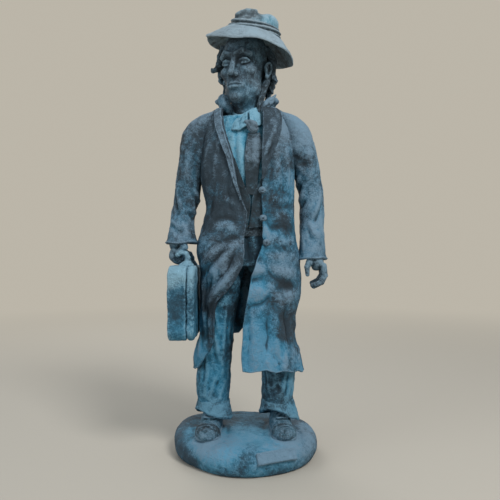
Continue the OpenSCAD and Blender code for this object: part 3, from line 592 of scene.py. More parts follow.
def shoe_shell(p, grow):
    d = 3 - p[:, 1]
    w = curve(np.minimum(d, 46), shoe_from_heel, shoe_half) + grow
    h = curve(np.minimum(d, 46), shoe_from_heel, shoe_high) - 1.6 + grow
    x, z = np.abs(p[:, 0]) / w, np.maximum(p[:, 2] - 1.6, 0) / h
    d = ((x ** 2.5 + z ** 2.5) ** 0.4 - 1) * np.minimum(w, h) * 0.75
    d = scoop(d, p[:, 1] + 43.5, 3.0)
    return blend(d, ball(p, (0, -39.5, 4.0), (9.2 + grow, 12.4 + grow, 6.4 + grow)), 1.5)


for side, name in ((-1, "right"), (1, "left")):
    seed = 40 + 20 * side

    def sole_field(p):
        t = np.clip((-7 - p[:, 1]) / 33, 0, 1)
        d = np.hypot(p[:, 0], p[:, 1] + 7 + 33 * t) - (9.7 + t)
        edge = np.stack([d + 1.1, np.abs(p[:, 2] - 1.3) - 0.25], 1)
        return (np.linalg.norm(np.maximum(edge, 0), axis=1) + np.minimum(edge.max(1), 0) - 1.1
                - 0.2 * lumps(p, 4, seed) - 0.08 * lumps(p, 1.5, seed + 1))

    def upper_field(p):
        d = shoe_shell(p, 0.25)
        d = scoop(np.maximum(d, -38.2 - p[:, 1]), ball(p, (0, -14.5, 21.5), (3.2, 5, 1.6)), 1.5)
        d = blend(d, roll(p, (-4.6, -26.5, 13.6), (4.6, -26.5, 13.6), 1.0), 1.0)
        for i in range(3):
            y, z = -13.5 - 4.0 * i, 19.6 - 2.15 * i
            d = blend(d, roll(p, (-4.4, y - 1.4, z - 1.3), (0, y + 0.6, z + 0.55), 0.75), 0.8)
            d = blend(d, roll(p, (0, y + 0.6, z + 0.55), (4.4, y - 1.4, z - 1.3), 0.75), 0.8)
        d = np.maximum(d, 1.4 - p[:, 2])
        return d - 0.3 * lumps(p, 6, seed + 2) - 0.18 * lumps(p, 2.6, seed + 3) - 0.08 * lumps(p, 1.3, seed + 4)

    def cap_field(p):
        grow = 0.55 + 0.55 * np.exp(-((p[:, 1] + 37.6) / 0.8) ** 2)
        d = np.maximum(shoe_shell(p, 0) - grow, p[:, 1] + 36.9)
        d = np.maximum(d, 1.6 - p[:, 2])
        d = scoop(d, roll(p, (-5, -44.5, 10.4), (4, -42.0, 11.2), 0.4), 0.8)
        return d - 0.3 * lumps(p, 5, seed + 5) - 0.22 * lumps(p, 2.1, seed + 6) - 0.1 * lumps(p, 1.1, seed + 7)

    for piece, field, box, wash, dry_brush_and_light in (
            ("sole", sole_field, ((-14, -54.5, -1), (14, 5.5, 4)), 0.6, 0.34),
            ("shoe", upper_field, ((-13, -41, 0.6), (13, 10, 23.5)), 0.6, 0.3),
            ("toe_cap", cap_field, ((-14, -54, 0.6), (14, -34, 14)), 0.3, 0.06)):
        points, faces = knead(field, *box, 0.5)
        a = math.radians(4 * side)
        points = np.stack([points[:, 0] * math.cos(a) - points[:, 1] * math.sin(a) + 30 * side,
                           points[:, 0] * math.sin(a) + points[:, 1] * math.cos(a) + 10.5, points[:, 2]], 1)
        press(piece + "_" + name + "_skin", points, faces, dark_paint, [piece + "_" + name],
              wash=wash, dry_brush_and_light=dry_brush_and_light, settle=0.16)

# ---- Trousers ----
# Long wrinkled legs of pasted paper, wrapped round the padding and pushed into creases with a thumb, with the
# turn-ups rolled on separately and hanging lower at the heel. The seat and waistband are hidden by the coat.
trouser_paint = patina("trouser_patina", (0.016, 0.046, 0.072), (0.018, 0.160, 0.270), (0.12, 0.27, 0.37))
trouser_rows = {
    "right": [[14, -29.4, -1, 15.2, 17], [25, -29.2, 0, 14.2, 16], [38, -29.4, 1, 15.4, 16.5], [60, -28, 1, 15.2, 17],
              [97, -24.4, 0, 14, 17.5], [124, -21.2, 1, 15.6, 18.5], [146, -18.6, 1.5, 17.2, 19.5]],
    "left": [[14, 29, -1, 15.2, 17], [25, 28.6, 0, 13.8, 16], [38, 28.6, 1, 14, 16], [60, 28.6, 1, 15, 17],
             [97, 25, 0, 15.2, 17.5], [124, 22.5, 1, 17, 18.5], [146, 19.4, 1.5, 17.8, 19.5]]}


def limb(rows, heights, n, grow=0.0):
    """Rings of a limb and the angle of each point from straight ahead, counted towards the figure's left."""
    rows = np.array(rows, float)
    z = np.asarray(heights, float)
    a = np.linspace(-180, 180, n, endpoint=False)
    cx, cy, rx, ry = (curve(z, rows[:, 0], rows[:, c])[:, None] for c in (1, 2, 3, 4))
    s, c = np.sin(np.radians(a)), np.cos(np.radians(a))
    ring = np.stack([cx + (rx + grow) * s, cy - (ry + grow) * c, np.repeat(z[:, None], n, 1)], -1)
    return ring, np.repeat(a[None], len(z), 0)


def thumbed(a, z, reach, strokes):
    """Height of folds and thumb grooves at angle a and height z. reach is millimetres to a degree, and each stroke is
    (width, height, angle, z, angle, z, ...) along its way; a height below 0 is a groove."""
    total = np.zeros(a.shape)
    for stroke in strokes:
        width, height, *path = stroke
        path = np.array(path, float).reshape(-1, 2)
        if len(path) == 1:
            d = np.hypot(((a - path[0, 0] + 180) % 360 - 180) * reach, z - path[0, 1])
            total += height * np.exp(-(d / width) ** 2)
            continue
        lengths = np.hypot(np.diff(path[:, 0]) * reach, np.diff(path[:, 1]))
        start = np.concatenate([[0], np.cumsum(lengths)])
        best, place = np.full(a.shape, 1e9), np.zeros(a.shape)
        for k in range(len(path) - 1):
            u = ((a - path[k, 0] + 180) % 360 - 180) * reach
            v = z - path[k, 1]
            du, dv = (path[k + 1, 0] - path[k, 0]) * reach, path[k + 1, 1] - path[k, 1]
            t = np.clip((u * du + v * dv) / (du * du + dv * dv), 0, 1)
            d = np.hypot(u - t * du, v - t * dv)
            nearer = d < best
            best = np.where(nearer, d, best)
            place = np.where(nearer, start[k] + t * lengths[k], place)
        ends = np.minimum(place, start[-1] - place) / (0.28 * start[-1])
        total += height * np.exp(-(best / width) ** 2) * np.sqrt(np.clip(ends + 0.12, 0, 1))
    return total


def leg(name, strokes, seed, wash, dry_brush_and_light, wash_and_light_spots, dry_brush_and_light_spots):
    ring, a = limb(trouser_rows[name], np.linspace(20.5, 146, 128), 120)
    z = ring[..., 2]
    out = thumbed(a, z, 0.29, strokes)
    flat = ring.reshape(-1, 3)
    out = 0.75 * out + (0.9 * lumps(flat * [1, 1, 0.8], 11, seed) + 0.55 * lumps(flat, 5, seed + 1)
                        + 0.3 * lumps(flat, 2.3, seed + 2) + 0.1 * lumps(flat, 1.2, seed + 3)).reshape(out.shape)
    s, c = np.sin(np.radians(a)), np.cos(np.radians(a))
    ring = ring + np.stack([out * s, -out * c, 0 * out], -1)
    points, faces = tube(ring)
    press("trouser_leg_" + name + "_skin", points, faces, trouser_paint, ["trouser_leg_" + name],
          wash=wash, dry_brush_and_light=dry_brush_and_light, wash_and_light_spots=wash_and_light_spots, dry_brush_and_light_spots=dry_brush_and_light_spots)


right_creases = [(2.2, 1.5, -26, 114, -12, 100, 2, 93), (1.6, -1.2, -22, 105, -8, 92),
                 (2.6, 1.6, -8, 88, 4, 74, 20, 64), (1.8, -1.4, -18, 86, 0, 70, 12, 60),
                 (1.7, 1.2, 24, 112, 30, 84, 26, 60), (2.4, -1.1, 40, 106, 48, 74, 42, 48),
                 (1.8, 1.2, -32, 70, -20, 52, -24, 36), (2.0, -1.3, -38, 60, -30, 44),
                 (2.0, 1.3, 10, 52, 4, 40, -10, 31), (1.6, -1.2, 18, 46, 2, 33), (2.4, 1.5, 36, 40, 24, 30, 0, 26.5),
                 (2.0, 1.1, -50, 90, -60, 62), (2.2, -1.2, 70, 96, 76, 60, 60, 34), (2.6, 1.3, 100, 88, 120, 52),
                 (2.6, 1.4, 160, 84, 176, 66, 200, 60), (2.2, -1.4, 150, 78, 185, 58), (2.4, 1.3, 150, 44, 190, 32),
                 (2.0, -1.2, 165, 40, 205, 27), (2.4, 1.2, -100, 100, -110, 66, -96, 40), (3.0, 1.8, -4, 137, 10, 122)]
leg("right", right_creases, seed=61, wash=0.56, dry_brush_and_light=0.16,
    wash_and_light_spots=[(-29, -16, 78, 9, 0.45), (-31, -16, 104, 8, 0.45), (-24, -16, 92, 9, 0.3), (-34, -14, 40, 12, 0.3),
            (-22, -14, 52, 9, 0.3), (-15, -10, 70, 9, -0.25), (-12, -8, 110, 12, -0.45), (-16, -14, 140, 16, -0.5),
            (-30, 14, 60, 30, -0.15)],
    dry_brush_and_light_spots=[(-30, -16, 78, 6, 0.4), (-33, -16, 106, 6, 0.4), (-34, -14, 34, 8, 0.3), (-28, -16, 30, 8, 0.25)])
left_creases = [(2.0, 1.3, -20, 60, -6, 46, 10, 38), (1.8, -1.2, -12, 50, 4, 36), (2.2, 1.3, 26, 58, 20, 40, 2, 29),
                (2.0, -1.3, 36, 52, 26, 34), (2.2, 1.4, 56, 60, 52, 40, 36, 28), (1.8, -1.2, 68, 56, 64, 34),
                (2.0, 1.2, -44, 62, -40, 42, -28, 30), (2.0, -1.2, -56, 70, -54, 40),
                (2.6, 1.4, 92, 80, 96, 50, 84, 30), (2.4, -1.2, 112, 74, 116, 40), (2.6, 1.4, 150, 84, 184, 62),
                (2.2, -1.3, 150, 70, 190, 52), (2.4, 1.3, 160, 44, 200, 34), (2.0, -1.2, 165, 38, 205, 26),
                (2.6, 1.2, -90, 96, -96, 60), (2.6, 1.3, 4, 110, 10, 80)]
# The first two wash patches and the first two dry-brush patches, on the outer side of the leg, are a painted highlight
# on the side that faces the lamp.
leg("left", left_creases, seed=71, wash=0.34, dry_brush_and_light=0.22,
    wash_and_light_spots=[(43, -6, 40, 10, 0.9), (44, 0, 52, 10, 0.8), (24, -16, 45, 12, -0.45), (30, -15, 30, 10, -0.1),
            (30, 14, 50, 30, 0.1)],
    dry_brush_and_light_spots=[(43, -6, 40, 9, 0.55), (43, -2, 52, 8, 0.3), (38, -10, 27, 8, 0.25)])


def hoop(grid):
    """Closed band: sections across it run up on the outside, and round it the points run counter-clockwise."""
    rows, n = grid.shape[:2]
    i, j = np.meshgrid(np.arange(rows), np.arange(n), indexing="ij")
    a, b = i * n + j, i * n + (j + 1) % n
    c, d = (i + 1) % rows * n + (j + 1) % n, (i + 1) % rows * n + j
    return grid.reshape(-1, 3), np.stack([a, b, c, d], -1).reshape(-1, 4)


def turn_up(name, seed, lip_at, flare_at, flare, wash_and_light_spots, dry_brush_and_light_spots):
    """lip_at gives the height of the lip at angles round the ankle."""
    rows = np.array(trouser_rows[name], float)
    a = np.radians(np.linspace(-180, 180, 140, endpoint=False))
    f = np.radians(np.linspace(0, 360, 52, endpoint=False))
    bottom = curve(np.degrees(a), *np.array(lip_at, float).T)
    head = 26.5 + 0.9 * np.cos(2 * a + seed)
    rounded = np.sign(np.sin(f))[:, None] * np.abs(np.sin(f))[:, None] ** 0.8
    z = (bottom + head)[None] / 2 + (head - bottom)[None] / 2 * rounded
    up = z - bottom
    lip = np.exp(-((up - 1.6) / 2.0) ** 2)
    out = 0.3 + (0.7 + 0.55 * lip) * np.cos(f)[:, None] * np.clip(np.sqrt(np.maximum(up, 0) / 1.2), 0, 1) + 0.3 * lip
    out += np.clip(1 - up / 15, 0, 1) * (flare * 0.25 + flare * np.exp(-((np.degrees(a) - flare_at) / 42) ** 2))[None]
    cx, cy, rx, ry = (curve(np.clip(z, 14, 30), rows[:, 0], rows[:, c]) for c in (1, 2, 3, 4))
    grid = np.stack([cx + (rx + out) * np.sin(a), cy - (ry + out) * np.cos(a), z], -1)
    points, faces = hoop(grid)
    away = outward(points, faces)
    points += away * (hand_worked(points, seed, 0.45, 0.2) + 0.35 * lumps(points * [1, 1, 2.5], 7, seed + 9))[:, None]
    press("cuff_" + name + "_roll", points, faces, trouser_paint, ["cuff_" + name], wash=0.42,
          dry_brush_and_light=0.34, wash_and_light_spots=wash_and_light_spots, dry_brush_and_light_spots=dry_brush_and_light_spots, rounds=7)


turn_up("right", 81, [(-180, 8), (-120, 12), (-75, 18), (-45, 18.5), (0, 15), (45, 11.5), (90, 9), (135, 7.5),
                      (180, 8)], flare_at=60, flare=0.6, wash_and_light_spots=[(-36, -18, 18, 8, 0.2), (-15, -8, 20, 8, -0.1)],
        dry_brush_and_light_spots=[(-34, -18, 20, 10, 0.4), (-24, -18, 15, 8, 0.35)])
turn_up("left", 91, [(-180, 8), (-130, 10), (-80, 15), (-30, 19.5), (0, 19), (40, 13), (75, 8.5), (130, 7), (180, 8)],
        flare_at=68, flare=2.4, wash_and_light_spots=[(44, -4, 18, 8, 0.45), (24, -18, 24, 9, -0.25)],
        dry_brush_and_light_spots=[(24, -18, 21, 6, 0.2), (38, -14, 14, 9, 0.4)])

seat_rows = [[146, 0, 1.5, 37, 20], [158, 0.5, 1.5, 36, 20.5], [170, 1, 1.5, 34.5, 20], [180, 1.5, 1.5, 33, 19]]
ring, a = limb(seat_rows, np.linspace(146.2, 179.8, 30), 150, -0.3)
out = thumbed(a, ring[..., 2], 0.5,
              [(1.4, -1.3, -2, 180, 1, 160, 6, 148), (2.4, 1.0, 8, 178, 10, 156), (2.5, 1.0, -14, 170, -30, 152)])
flat = ring.reshape(-1, 3)
out += (0.5 * lumps(flat, 8, 101) + 0.2 * lumps(flat, 3, 102)).reshape(a.shape)
s, c = np.sin(np.radians(a)), np.cos(np.radians(a))
points, faces = tube(ring + np.stack([out * s, -out * c, 0 * out], -1))
press("trouser_seat_skin", points, faces, trouser_paint, ["trouser_seat"], wash=0.1, dry_brush_and_light=0.0)

a = np.radians(np.linspace(-180, 180, 150, endpoint=False))
f = np.radians(np.linspace(0, 360, 20, endpoint=False))
z = 176.2 + 3.9 * np.sign(np.sin(f))[:, None] * np.abs(np.sin(f))[:, None] ** 0.7 + 0 * a
out = 0.75 + 0.75 * np.cos(f)[:, None] + 0.125 * np.sin(a * 9)
points, faces = hoop(np.stack([1.3 + (33.6 + out) * np.sin(a), 1.5 - (19.5 + out) * np.cos(a), z], -1))
points += outward(points, faces) * hand_worked(points, 111, 0.2, 0.1)[:, None]
press("waistband_strip", points, faces, dark_paint, ["waistband"], wash=0.12, dry_brush_and_light=0.15)

# ---- Shirt ----
# One sheet of paper laid over the padding, puckered beside the tie, with a folded collar: a stand round the neck and
# a fall that is pressed down over it in two pieces, left open for the knot.
shirt_paint = patina("shirt_patina", (0.014, 0.080, 0.130), (0.036, 0.235, 0.375), (0.20, 0.39, 0.50))
coat_rows = [[50, 3, 3, 50, 34], [71, 0.5, 3, 47, 33], [76, 0.6, 3, 45.2, 32.6], [82, 1, 3, 43.4, 32.2],
             [97, 1.2, 3, 42.8, 31.5], [124, 4, 2.5, 45.5, 30.5], [148, 3.4, 2.1, 45.5, 29.2],
             [157, 1.8, 1.9, 46.2, 28.4], [168, 1, 1.5, 44.5, 27], [181, 2.5, 1.5, 41.5, 25.5],
             [195, 3.5, 1.5, 39.5, 25], [218, 2, 1.5, 41.5, 26.5], [240, 1, 2, 43, 27], [258, 1, 3, 43.4, 25.8],
             [268, 1, 3.5, 42, 24], [277, 1, 4, 38.6, 22.4], [284.5, 1, 4.5, 32.6, 20], [290, 1, 5, 23.5, 17]]
coat_square = 0.86          # below 1 the coat is squarer in plan than an oval
coat_reach = 0.72           # millimetres to a degree round the coat
shirt_reach, shirt_depth = 0.62, 6.25


def on_coat(a, z, out=0.0):
    """Point on the coat's outside at angle a from straight ahead, counted towards the figure's left, and height z."""
    rows = np.array(coat_rows)
    a, z = np.broadcast_arrays(np.radians(a), np.asarray(z, float))
    cx, cy, rx, ry = (curve(z, rows[:, 0], rows[:, c]) for c in (1, 2, 3, 4))
    s, c = np.sin(a), np.cos(a)
    return np.stack([cx + (rx + out) * np.sign(s) * np.abs(s) ** coat_square,
                     cy - (ry + out) * np.sign(c) * np.abs(c) ** coat_square, z], -1)


def ahead(x, z):
    """Angle on the coat's front at which it is x to the side."""
    rows = np.array(coat_rows)
    s = (x - np.interp(z, rows[:, 0], rows[:, 1])) / np.interp(z, rows[:, 0], rows[:, 3])
    return math.degrees(math.asin(math.copysign(min(1, abs(s)) ** (1 / coat_square), s)))


def seen(*strokes):
    """Strokes for the front, with each point given as (x, z) instead of (angle, z)."""
    return [(w, h, *[v for k in range(0, len(path), 2) for v in (ahead(path[k], path[k + 1]), path[k + 1])])
            for w, h, *path in strokes]


def close_set(n):
    """n steps from 0 to 1, closer together at both ends."""
    pull = 0.75
    t = np.linspace(0, 1, n)
    return t - pull * np.sin(2 * np.pi * t) / (2 * np.pi)


def sheet(mid, wall, rolled=0.0):
    """Closed sheet of pasted paper over a grid of middle points, with rounded edges that may be rolled thicker."""
    rows, cols = mid.shape[:2]
    du, dv = np.gradient(mid, axis=1), np.gradient(mid, axis=0)
    n = np.cross(du, dv)
    n /= np.maximum(np.linalg.norm(n, axis=2), 1e-9)[..., None]
    across = np.cumsum(np.pad(np.linalg.norm(np.diff(mid, axis=1), axis=2), ((0, 0), (1, 0))), axis=1)
    up = np.cumsum(np.pad(np.linalg.norm(np.diff(mid, axis=0), axis=2), ((1, 0), (0, 0))), axis=0)
    d = np.minimum.reduce([across, across[:, -1:] - across, up, up[-1:] - up])
    e = np.clip(d / (wall * 0.6 + rolled), 0, 1)
    half = wall / 2 * np.sqrt(1 - (1 - e) ** 2)
    if rolled:
        half += rolled * np.exp(-((d - 1.3 * rolled) / (1.1 * rolled)) ** 2) * np.sqrt(1 - (1 - e) ** 2)
    front, back = mid + n * half[..., None], mid - n * half[..., None]
    i, j = np.meshgrid(np.arange(rows - 1), np.arange(cols - 1), indexing="ij")
    number = np.arange(rows * cols).reshape(rows, cols)
    inner = number.copy()
    inner[1:-1, 1:-1] = rows * cols + np.arange((rows - 2) * (cols - 2)).reshape(rows - 2, cols - 2)
    a = np.stack([number[i, j], number[i, j + 1], number[i + 1, j + 1], number[i + 1, j]], -1).reshape(-1, 4)
    b = np.stack([inner[i, j], inner[i + 1, j], inner[i + 1, j + 1], inner[i, j + 1]], -1).reshape(-1, 4)
    return np.concatenate([front.reshape(-1, 3), back[1:-1, 1:-1].reshape(-1, 3)]), np.concatenate([a, b])


def between(x, pairs):
    """Straight-line reading at x of a list of (x, value) pairs."""
    return np.interp(x, *np.array(pairs, float).T)


def coat_sheet(left, right, low, high, out, rows, cols):
    """Grid on the coat's shape. left and right are angles at heights, low and high are heights at angles, and out gives
    how far the sheet stands off the coat at an angle and height."""
    u, v = close_set(cols), close_set(rows)
    z = np.repeat((between(0, low) + v * (between(0, high) - between(0, low)))[:, None], cols, 1)
    for _ in range(6):
        a = between(z, left) + u * (between(z, right) - between(z, left))
        z = between(a, low) + v[:, None] * (between(a, high) - between(a, low))
    return on_coat(a, z, out(a, z))


def cloth_noise(a, z, seed, reach, big, small):
    """Unevenness of pasted cloth at angle a and height z."""
    p = np.stack([a.ravel() * reach, 0 * a.ravel(), z.ravel()], 1)
    return (big * lumps(p * [1, 1, 0.6], 13, seed) + 0.5 * big * lumps(p, 5.5, seed + 1)
            + small * lumps(p, 2.4, seed + 2) + 0.6 * small * lumps(p, 1.2, seed + 3)).reshape(a.shape)


def shirt_out(a, z):
    folds = thumbed(a, z, shirt_reach,
                    seen((1.6, 0.9, -7, 268, -6, 240, -4, 205), (1.2, -0.8, -10, 262, -9, 225),
                         (1.3, 0.8, -3, 250, -1, 222), (1.1, -0.6, -5, 236, -8, 214), (1.6, 0.7, -12, 262, -16, 248),
                         (1.4, -0.7, 0, 262, -2, 232)))
    return -shirt_depth + folds + cloth_noise(a, z, 131, shirt_reach, 0.3, 0.22)


mid = coat_sheet([(182, -56), (273, -56)], [(182, 56), (273, 56)], [(-60, 182), (60, 182)], [(-60, 280), (60, 280)],
                 shirt_out, 98, 92)
points, faces = sheet(mid, 1.3)
press("shirt_front_skin", points, faces, shirt_paint, ["shirt_front"], wash=0.72, dry_brush_and_light=0.3,
      wash_and_light_spots=[(-8, -18, 248, 12, 0.3), (0, -20, 200, 16, -0.3)], dry_brush_and_light_spots=[(-9, -18, 250, 10, 0.3)])

f = np.radians(np.linspace(0, 360, 22, endpoint=False))
a = np.radians(np.linspace(-180, 180, 110, endpoint=False))
z = (282.2 + 5.6 * np.sign(np.sin(f))[:, None] * np.abs(np.sin(f))[:, None] ** 0.7
     - 7.0 * np.exp(-((np.degrees(a) + 24) / 42) ** 2))
wide = 13.2 + 0.75 * np.cos(f)[:, None] + 0 * a
stand = hoop(np.stack([wide * np.sin(a), 1.5 - wide * np.cos(a), z], -1))
parts = [stand]
for low, high, crest, seed in (
        ([(-120, 281), (-70, 273), (-40, 265.5), (-16, 265), (3, 269)], (-118, 4),
         [(-120, 289), (-70, 284), (-42, 276.5), (-14, 277), (4, 282.5)], 141),
        ([(11, 271), (21, 267.5), (34, 269.5), (70, 276), (120, 281)], (10, 118),
         [(10, 283), (40, 287), (120, 290)], 145)):
    u, v = close_set(60), close_set(26)
    a = np.radians(high[0] + u * (high[1] - high[0]))[None] + 0 * v[:, None]
    bottom = between(np.degrees(a), low)
    crest = between(np.degrees(a), crest)
    z = bottom + v[:, None] * (crest - bottom)
    wide = 15.0 + 6.4 * (1 - v[:, None]) ** 0.8 * np.clip((crest - bottom) / 13, 0, 1.1)
    flat = np.stack([wide * np.sin(a), 1.5 - wide * np.cos(a), z], -1)
    bend = 0.5 * lumps(flat.reshape(-1, 3), 6, seed) + 0.25 * lumps(flat.reshape(-1, 3), 2.5, seed + 1)
    bend = bend.reshape(a.shape)
    flat = flat + np.stack([bend * np.sin(a), -bend * np.cos(a), 0 * bend], -1)
    parts.append(sheet(flat, 1.6, 0.4))


def joined(parts):
    """Several closed skins put together as one mesh."""
    starts = np.cumsum([0] + [len(points) for points, _ in parts[:-1]])
    faces = np.concatenate([faces + start for (_, faces), start in zip(parts, starts)])
    return np.concatenate([points for points, _ in parts]), faces


points, faces = joined(parts)
points += outward(points, faces) * hand_worked(points, 151, 0.12, 0.12)[:, None]
press("shirt_collar_folded", points, faces, shirt_paint, ["shirt_collar"], wash=0.6, dry_brush_and_light=0.62,
      settle=0.2)

# ---- Tie and waistcoat ----
# The tie is a knotted strip, a lump for the knot and a flattened, dented blade. The waistcoat is two dark fronts that
# meet under it.
tie_depth, waistcoat_depth, waistcoat_reach = 3.9, 3.0, 0.66


def knot_field(p):
    d = ball(p, (4.6, -18.4, 270.4), (5.4, 3.4, 3.4))
    d = blend(d, ball(p, (6.6, -19.0, 266.2), (4.6, 3.2, 4.2)), 3.0)
    d = blend(d, strung(p, [(-0.5, -19.4, 272.6), (4.0, -21.6, 272.2), (9.4, -20.6, 269.4)], 1.2), 1.0)
    d = scoop(d, strung(p, [(1.0, -22.6, 269.2), (5.0, -23.0, 266.8), (9.5, -22.4, 262.6)], 0.5), 0.8)
    return d - 0.34 * lumps(p, 3.6, 161) - 0.2 * lumps(p, 1.6, 162)


points, faces = knead(knot_field, (-3, -25, 260), (13, -12, 276), 0.42)
press("tie_knot_lump", points, faces, dark_paint, ["tie_knot"], wash=0.22, dry_brush_and_light=0.5, settle=0.16,
      dry_brush_and_light_spots=[(5, -19, 273, 3, 0.5)])


def tie_out(a, z):
    folds = thumbed(a, z, shirt_reach,
                    seen((2.4, 1.1, 8, 258, 9, 246, 8, 236), (1.5, -0.8, 5, 260, 5.5, 240, 5, 226),
                         (1.3, -0.7, 11, 252, 9, 238), (1.6, 0.8, 6, 232, 4, 220), (1.3, -0.6, 8, 228, 5, 214),
                         (1.1, -0.6, 3, 247, 12, 243), (1.2, -0.7, 2, 236, 10, 233)))
    return -tie_depth + folds + cloth_noise(a, z, 171, shirt_reach, 0.35, 0.28)


mid = coat_sheet([(208, -2), (242, -2), (262, 0.5)], [(208, 8), (235, 13), (248, 18.5), (262, 14)],
                 [(-10, 211), (3, 208), (20, 211)], [(-10, 263), (20, 263)], tie_out, 70, 34)
points, faces = sheet(mid, 1.6, 0.3)
press("tie_blade_strip", points, faces, dark_paint, ["tie_blade"], wash=0.16, dry_brush_and_light=0.12,
      dry_brush_and_light_spots=[(9, -22, 252, 8, 0.6), (8, -22, 243, 8, 0.45), (4, -22, 222, 9, -0.1)])

parts = []
for left, right, low, seed in (
        ([(184, -64), (270, -60)], [(178, -1), (206, 1), (240, -12), (262, -36)], [(-70, 188), (0, 179)], 181),
        ([(184, 0), (206, 2.2), (240, 26), (262, 46)], [(184, 66), (270, 62)], [(0, 179), (70, 188)], 185)):

    def front_out(a, z):
        folds = thumbed(a, z, waistcoat_reach, seen((1.6, 0.7, -9, 210, -2, 198), (1.4, -0.6, 4, 200, 12, 206)))
        return -waistcoat_depth + cloth_noise(a, z, seed, waistcoat_reach, 0.3, 0.15) + folds

    mid = coat_sheet(left, right, low, [(-70, 262), (70, 262)], front_out, 70, 56)
    parts.append(sheet(mid, 1.3, 0.2))
points, faces = joined(parts)
press("waistcoat_fronts", points, faces, dark_paint, ["waistcoat"], wash=0.2, dry_brush_and_light=0.0)

# ---- Overcoat ----
# Four layers of pasted paper laid over the padding while wet: a back with a vent, and two fronts that hang open. Folds
# and gathers were pinched up with the fingers, and the free edges rolled. The right front is caught back over the leg.
coat_paint = patina("coat_patina", slate, verdigris, ash)
right_edge = [(50, -40), (108, -40), (116, -36), (123, -25), (133, -15), (146, -6), (158, -2), (193, -2), (205, -7),
              (220, -10), (242, -13), (260, -20.5), (276, -29), (290, -44)]
left_edge = [(50, -4), (92, -3.5), (117, -2), (139, 0.5), (150, 5), (163, 13), (168, 17), (173, 14), (203, 12),
             (225, 15), (238, 20), (253, 27), (273, 35), (290, 48)]
side_seam, coat_top, coat_wall = 79.85, 288.6, 1.9


def coat_piece(name, node, left, right, low, strokes, seed, rows, cols, wash, dry_brush_and_light, wash_and_light_spots, dry_brush_and_light_spots, big=0.6):
    def out(a, z):
        return -0.9 + thumbed(a, z, coat_reach, strokes) + cloth_noise(a, z, seed, coat_reach, big, 0.17)

    mid = coat_sheet(left, right, low, [(-400, coat_top), (400, coat_top)], out, rows, cols)
    points, faces = sheet(mid, coat_wall, 0.55)
    press(name, points, faces, coat_paint, [node], wash=wash, dry_brush_and_light=dry_brush_and_light, wash_and_light_spots=wash_and_light_spots, dry_brush_and_light_spots=dry_brush_and_light_spots)


# The right front gets little wash and little dry brush, so it stays dark: partly darker paint, partly painted shade on
# the side of the chest turned away from the light.
coat_piece(
    "coat_front_right_skin", "coat_front_right", [(50, -side_seam), (290, -side_seam)], right_edge,
    [(-90, 54), (-79, 54), (-62, 57), (-50, 64), (-40, 74), (0, 74)],
    seen(
        # the edge rolled back from the waist down to the knee, and the gathers that it pulls
        (3.2, 2.8, -4.5, 156, -9, 146, -15, 136, -23, 127, -30, 119, -34, 112),
        (2.0, -1.6, -10, 157, -17, 144, -26, 134, -33, 126),
        (2.6, 2.2, -14, 158, -22, 148, -31, 139, -38, 130), (1.8, -1.4, -19, 161, -27, 152, -36, 144),
        (2.4, 1.7, -24, 164, -32, 154, -40, 146),
        (2.2, 1.5, -31, 146, -27, 138, -30, 126), (1.6, -1.2, -25, 146, -24, 136),
        (1.8, 1.3, -18, 152, -20, 142, -25, 137), (1.5, -1.1, -34, 140, -36, 122),
        (2.4, 1.4, -38, 136, -38, 112, -36, 90), (2.0, -1.3, -34.5, 112, -34, 92, -33.5, 78),
        (2.4, 1.3, -41, 108, -40, 84, -39, 66), (2.0, 1.2, -32, 104, -31.5, 82),
        # slack at the waist and the fold from the arm
        (2.8, 1.1, -8, 178, -18, 182, -28, 180), (2.2, -0.9, -6, 184, -18, 189, -30, 187),
        (2.6, 0.9, -10, 200, -20, 206), (2.4, -0.9, -5, 171, -16, 170, -26, 166),
        (2.2, 0.9, -6, 166, -14, 162), (3.4, 1.3, -33, 252, -36, 232, -34, 210),
        (2.6, -1.2, -37, 262, -39, 244, -38, 226), (3.0, 1.0, -22, 262, -26, 240, -27, 222),
        (3.2, 1.1, -34, 198, -38, 184, -40, 172), (2.6, -0.9, -30, 205, -33, 190),
        (1.6, 0.9, -2.5, 222, -1.5, 206, -1, 192, -1.5, 176, -3, 160),
        (3, -1.0, -14, 232, -16, 214, -14, 196), (4, 0.9, -10, 226, -10, 206)),
    seed=201, rows=176, cols=96, wash=0.06, dry_brush_and_light=0.06,
    wash_and_light_spots=[(-30, -22, 140, 9, 0.45), (-34, -20, 132, 8, 0.3), (-38, -16, 168, 10, 0.22), (-20, -24, 175, 12, 0.12),
            (-27, -22, 128, 7, 0.2), (-42, -6, 70, 16, 0.75), (-38, -12, 96, 10, 0.4), (-42, 0, 150, 14, 0.15)],
    dry_brush_and_light_spots=[(-24, -24, 152, 9, 0.32), (-26, -24, 132, 10, 0.42), (-16, -26, 142, 7, 0.35), (-33, -20, 116, 6, 0.3),
          (-22, -25, 166, 14, 0.2), (-3, -26, 196, 5, 0.3), (-3, -26, 168, 6, 0.3),
          (-30, -14, 275, 12, 0.28), (-14, -24, 184, 9, 0.12)])
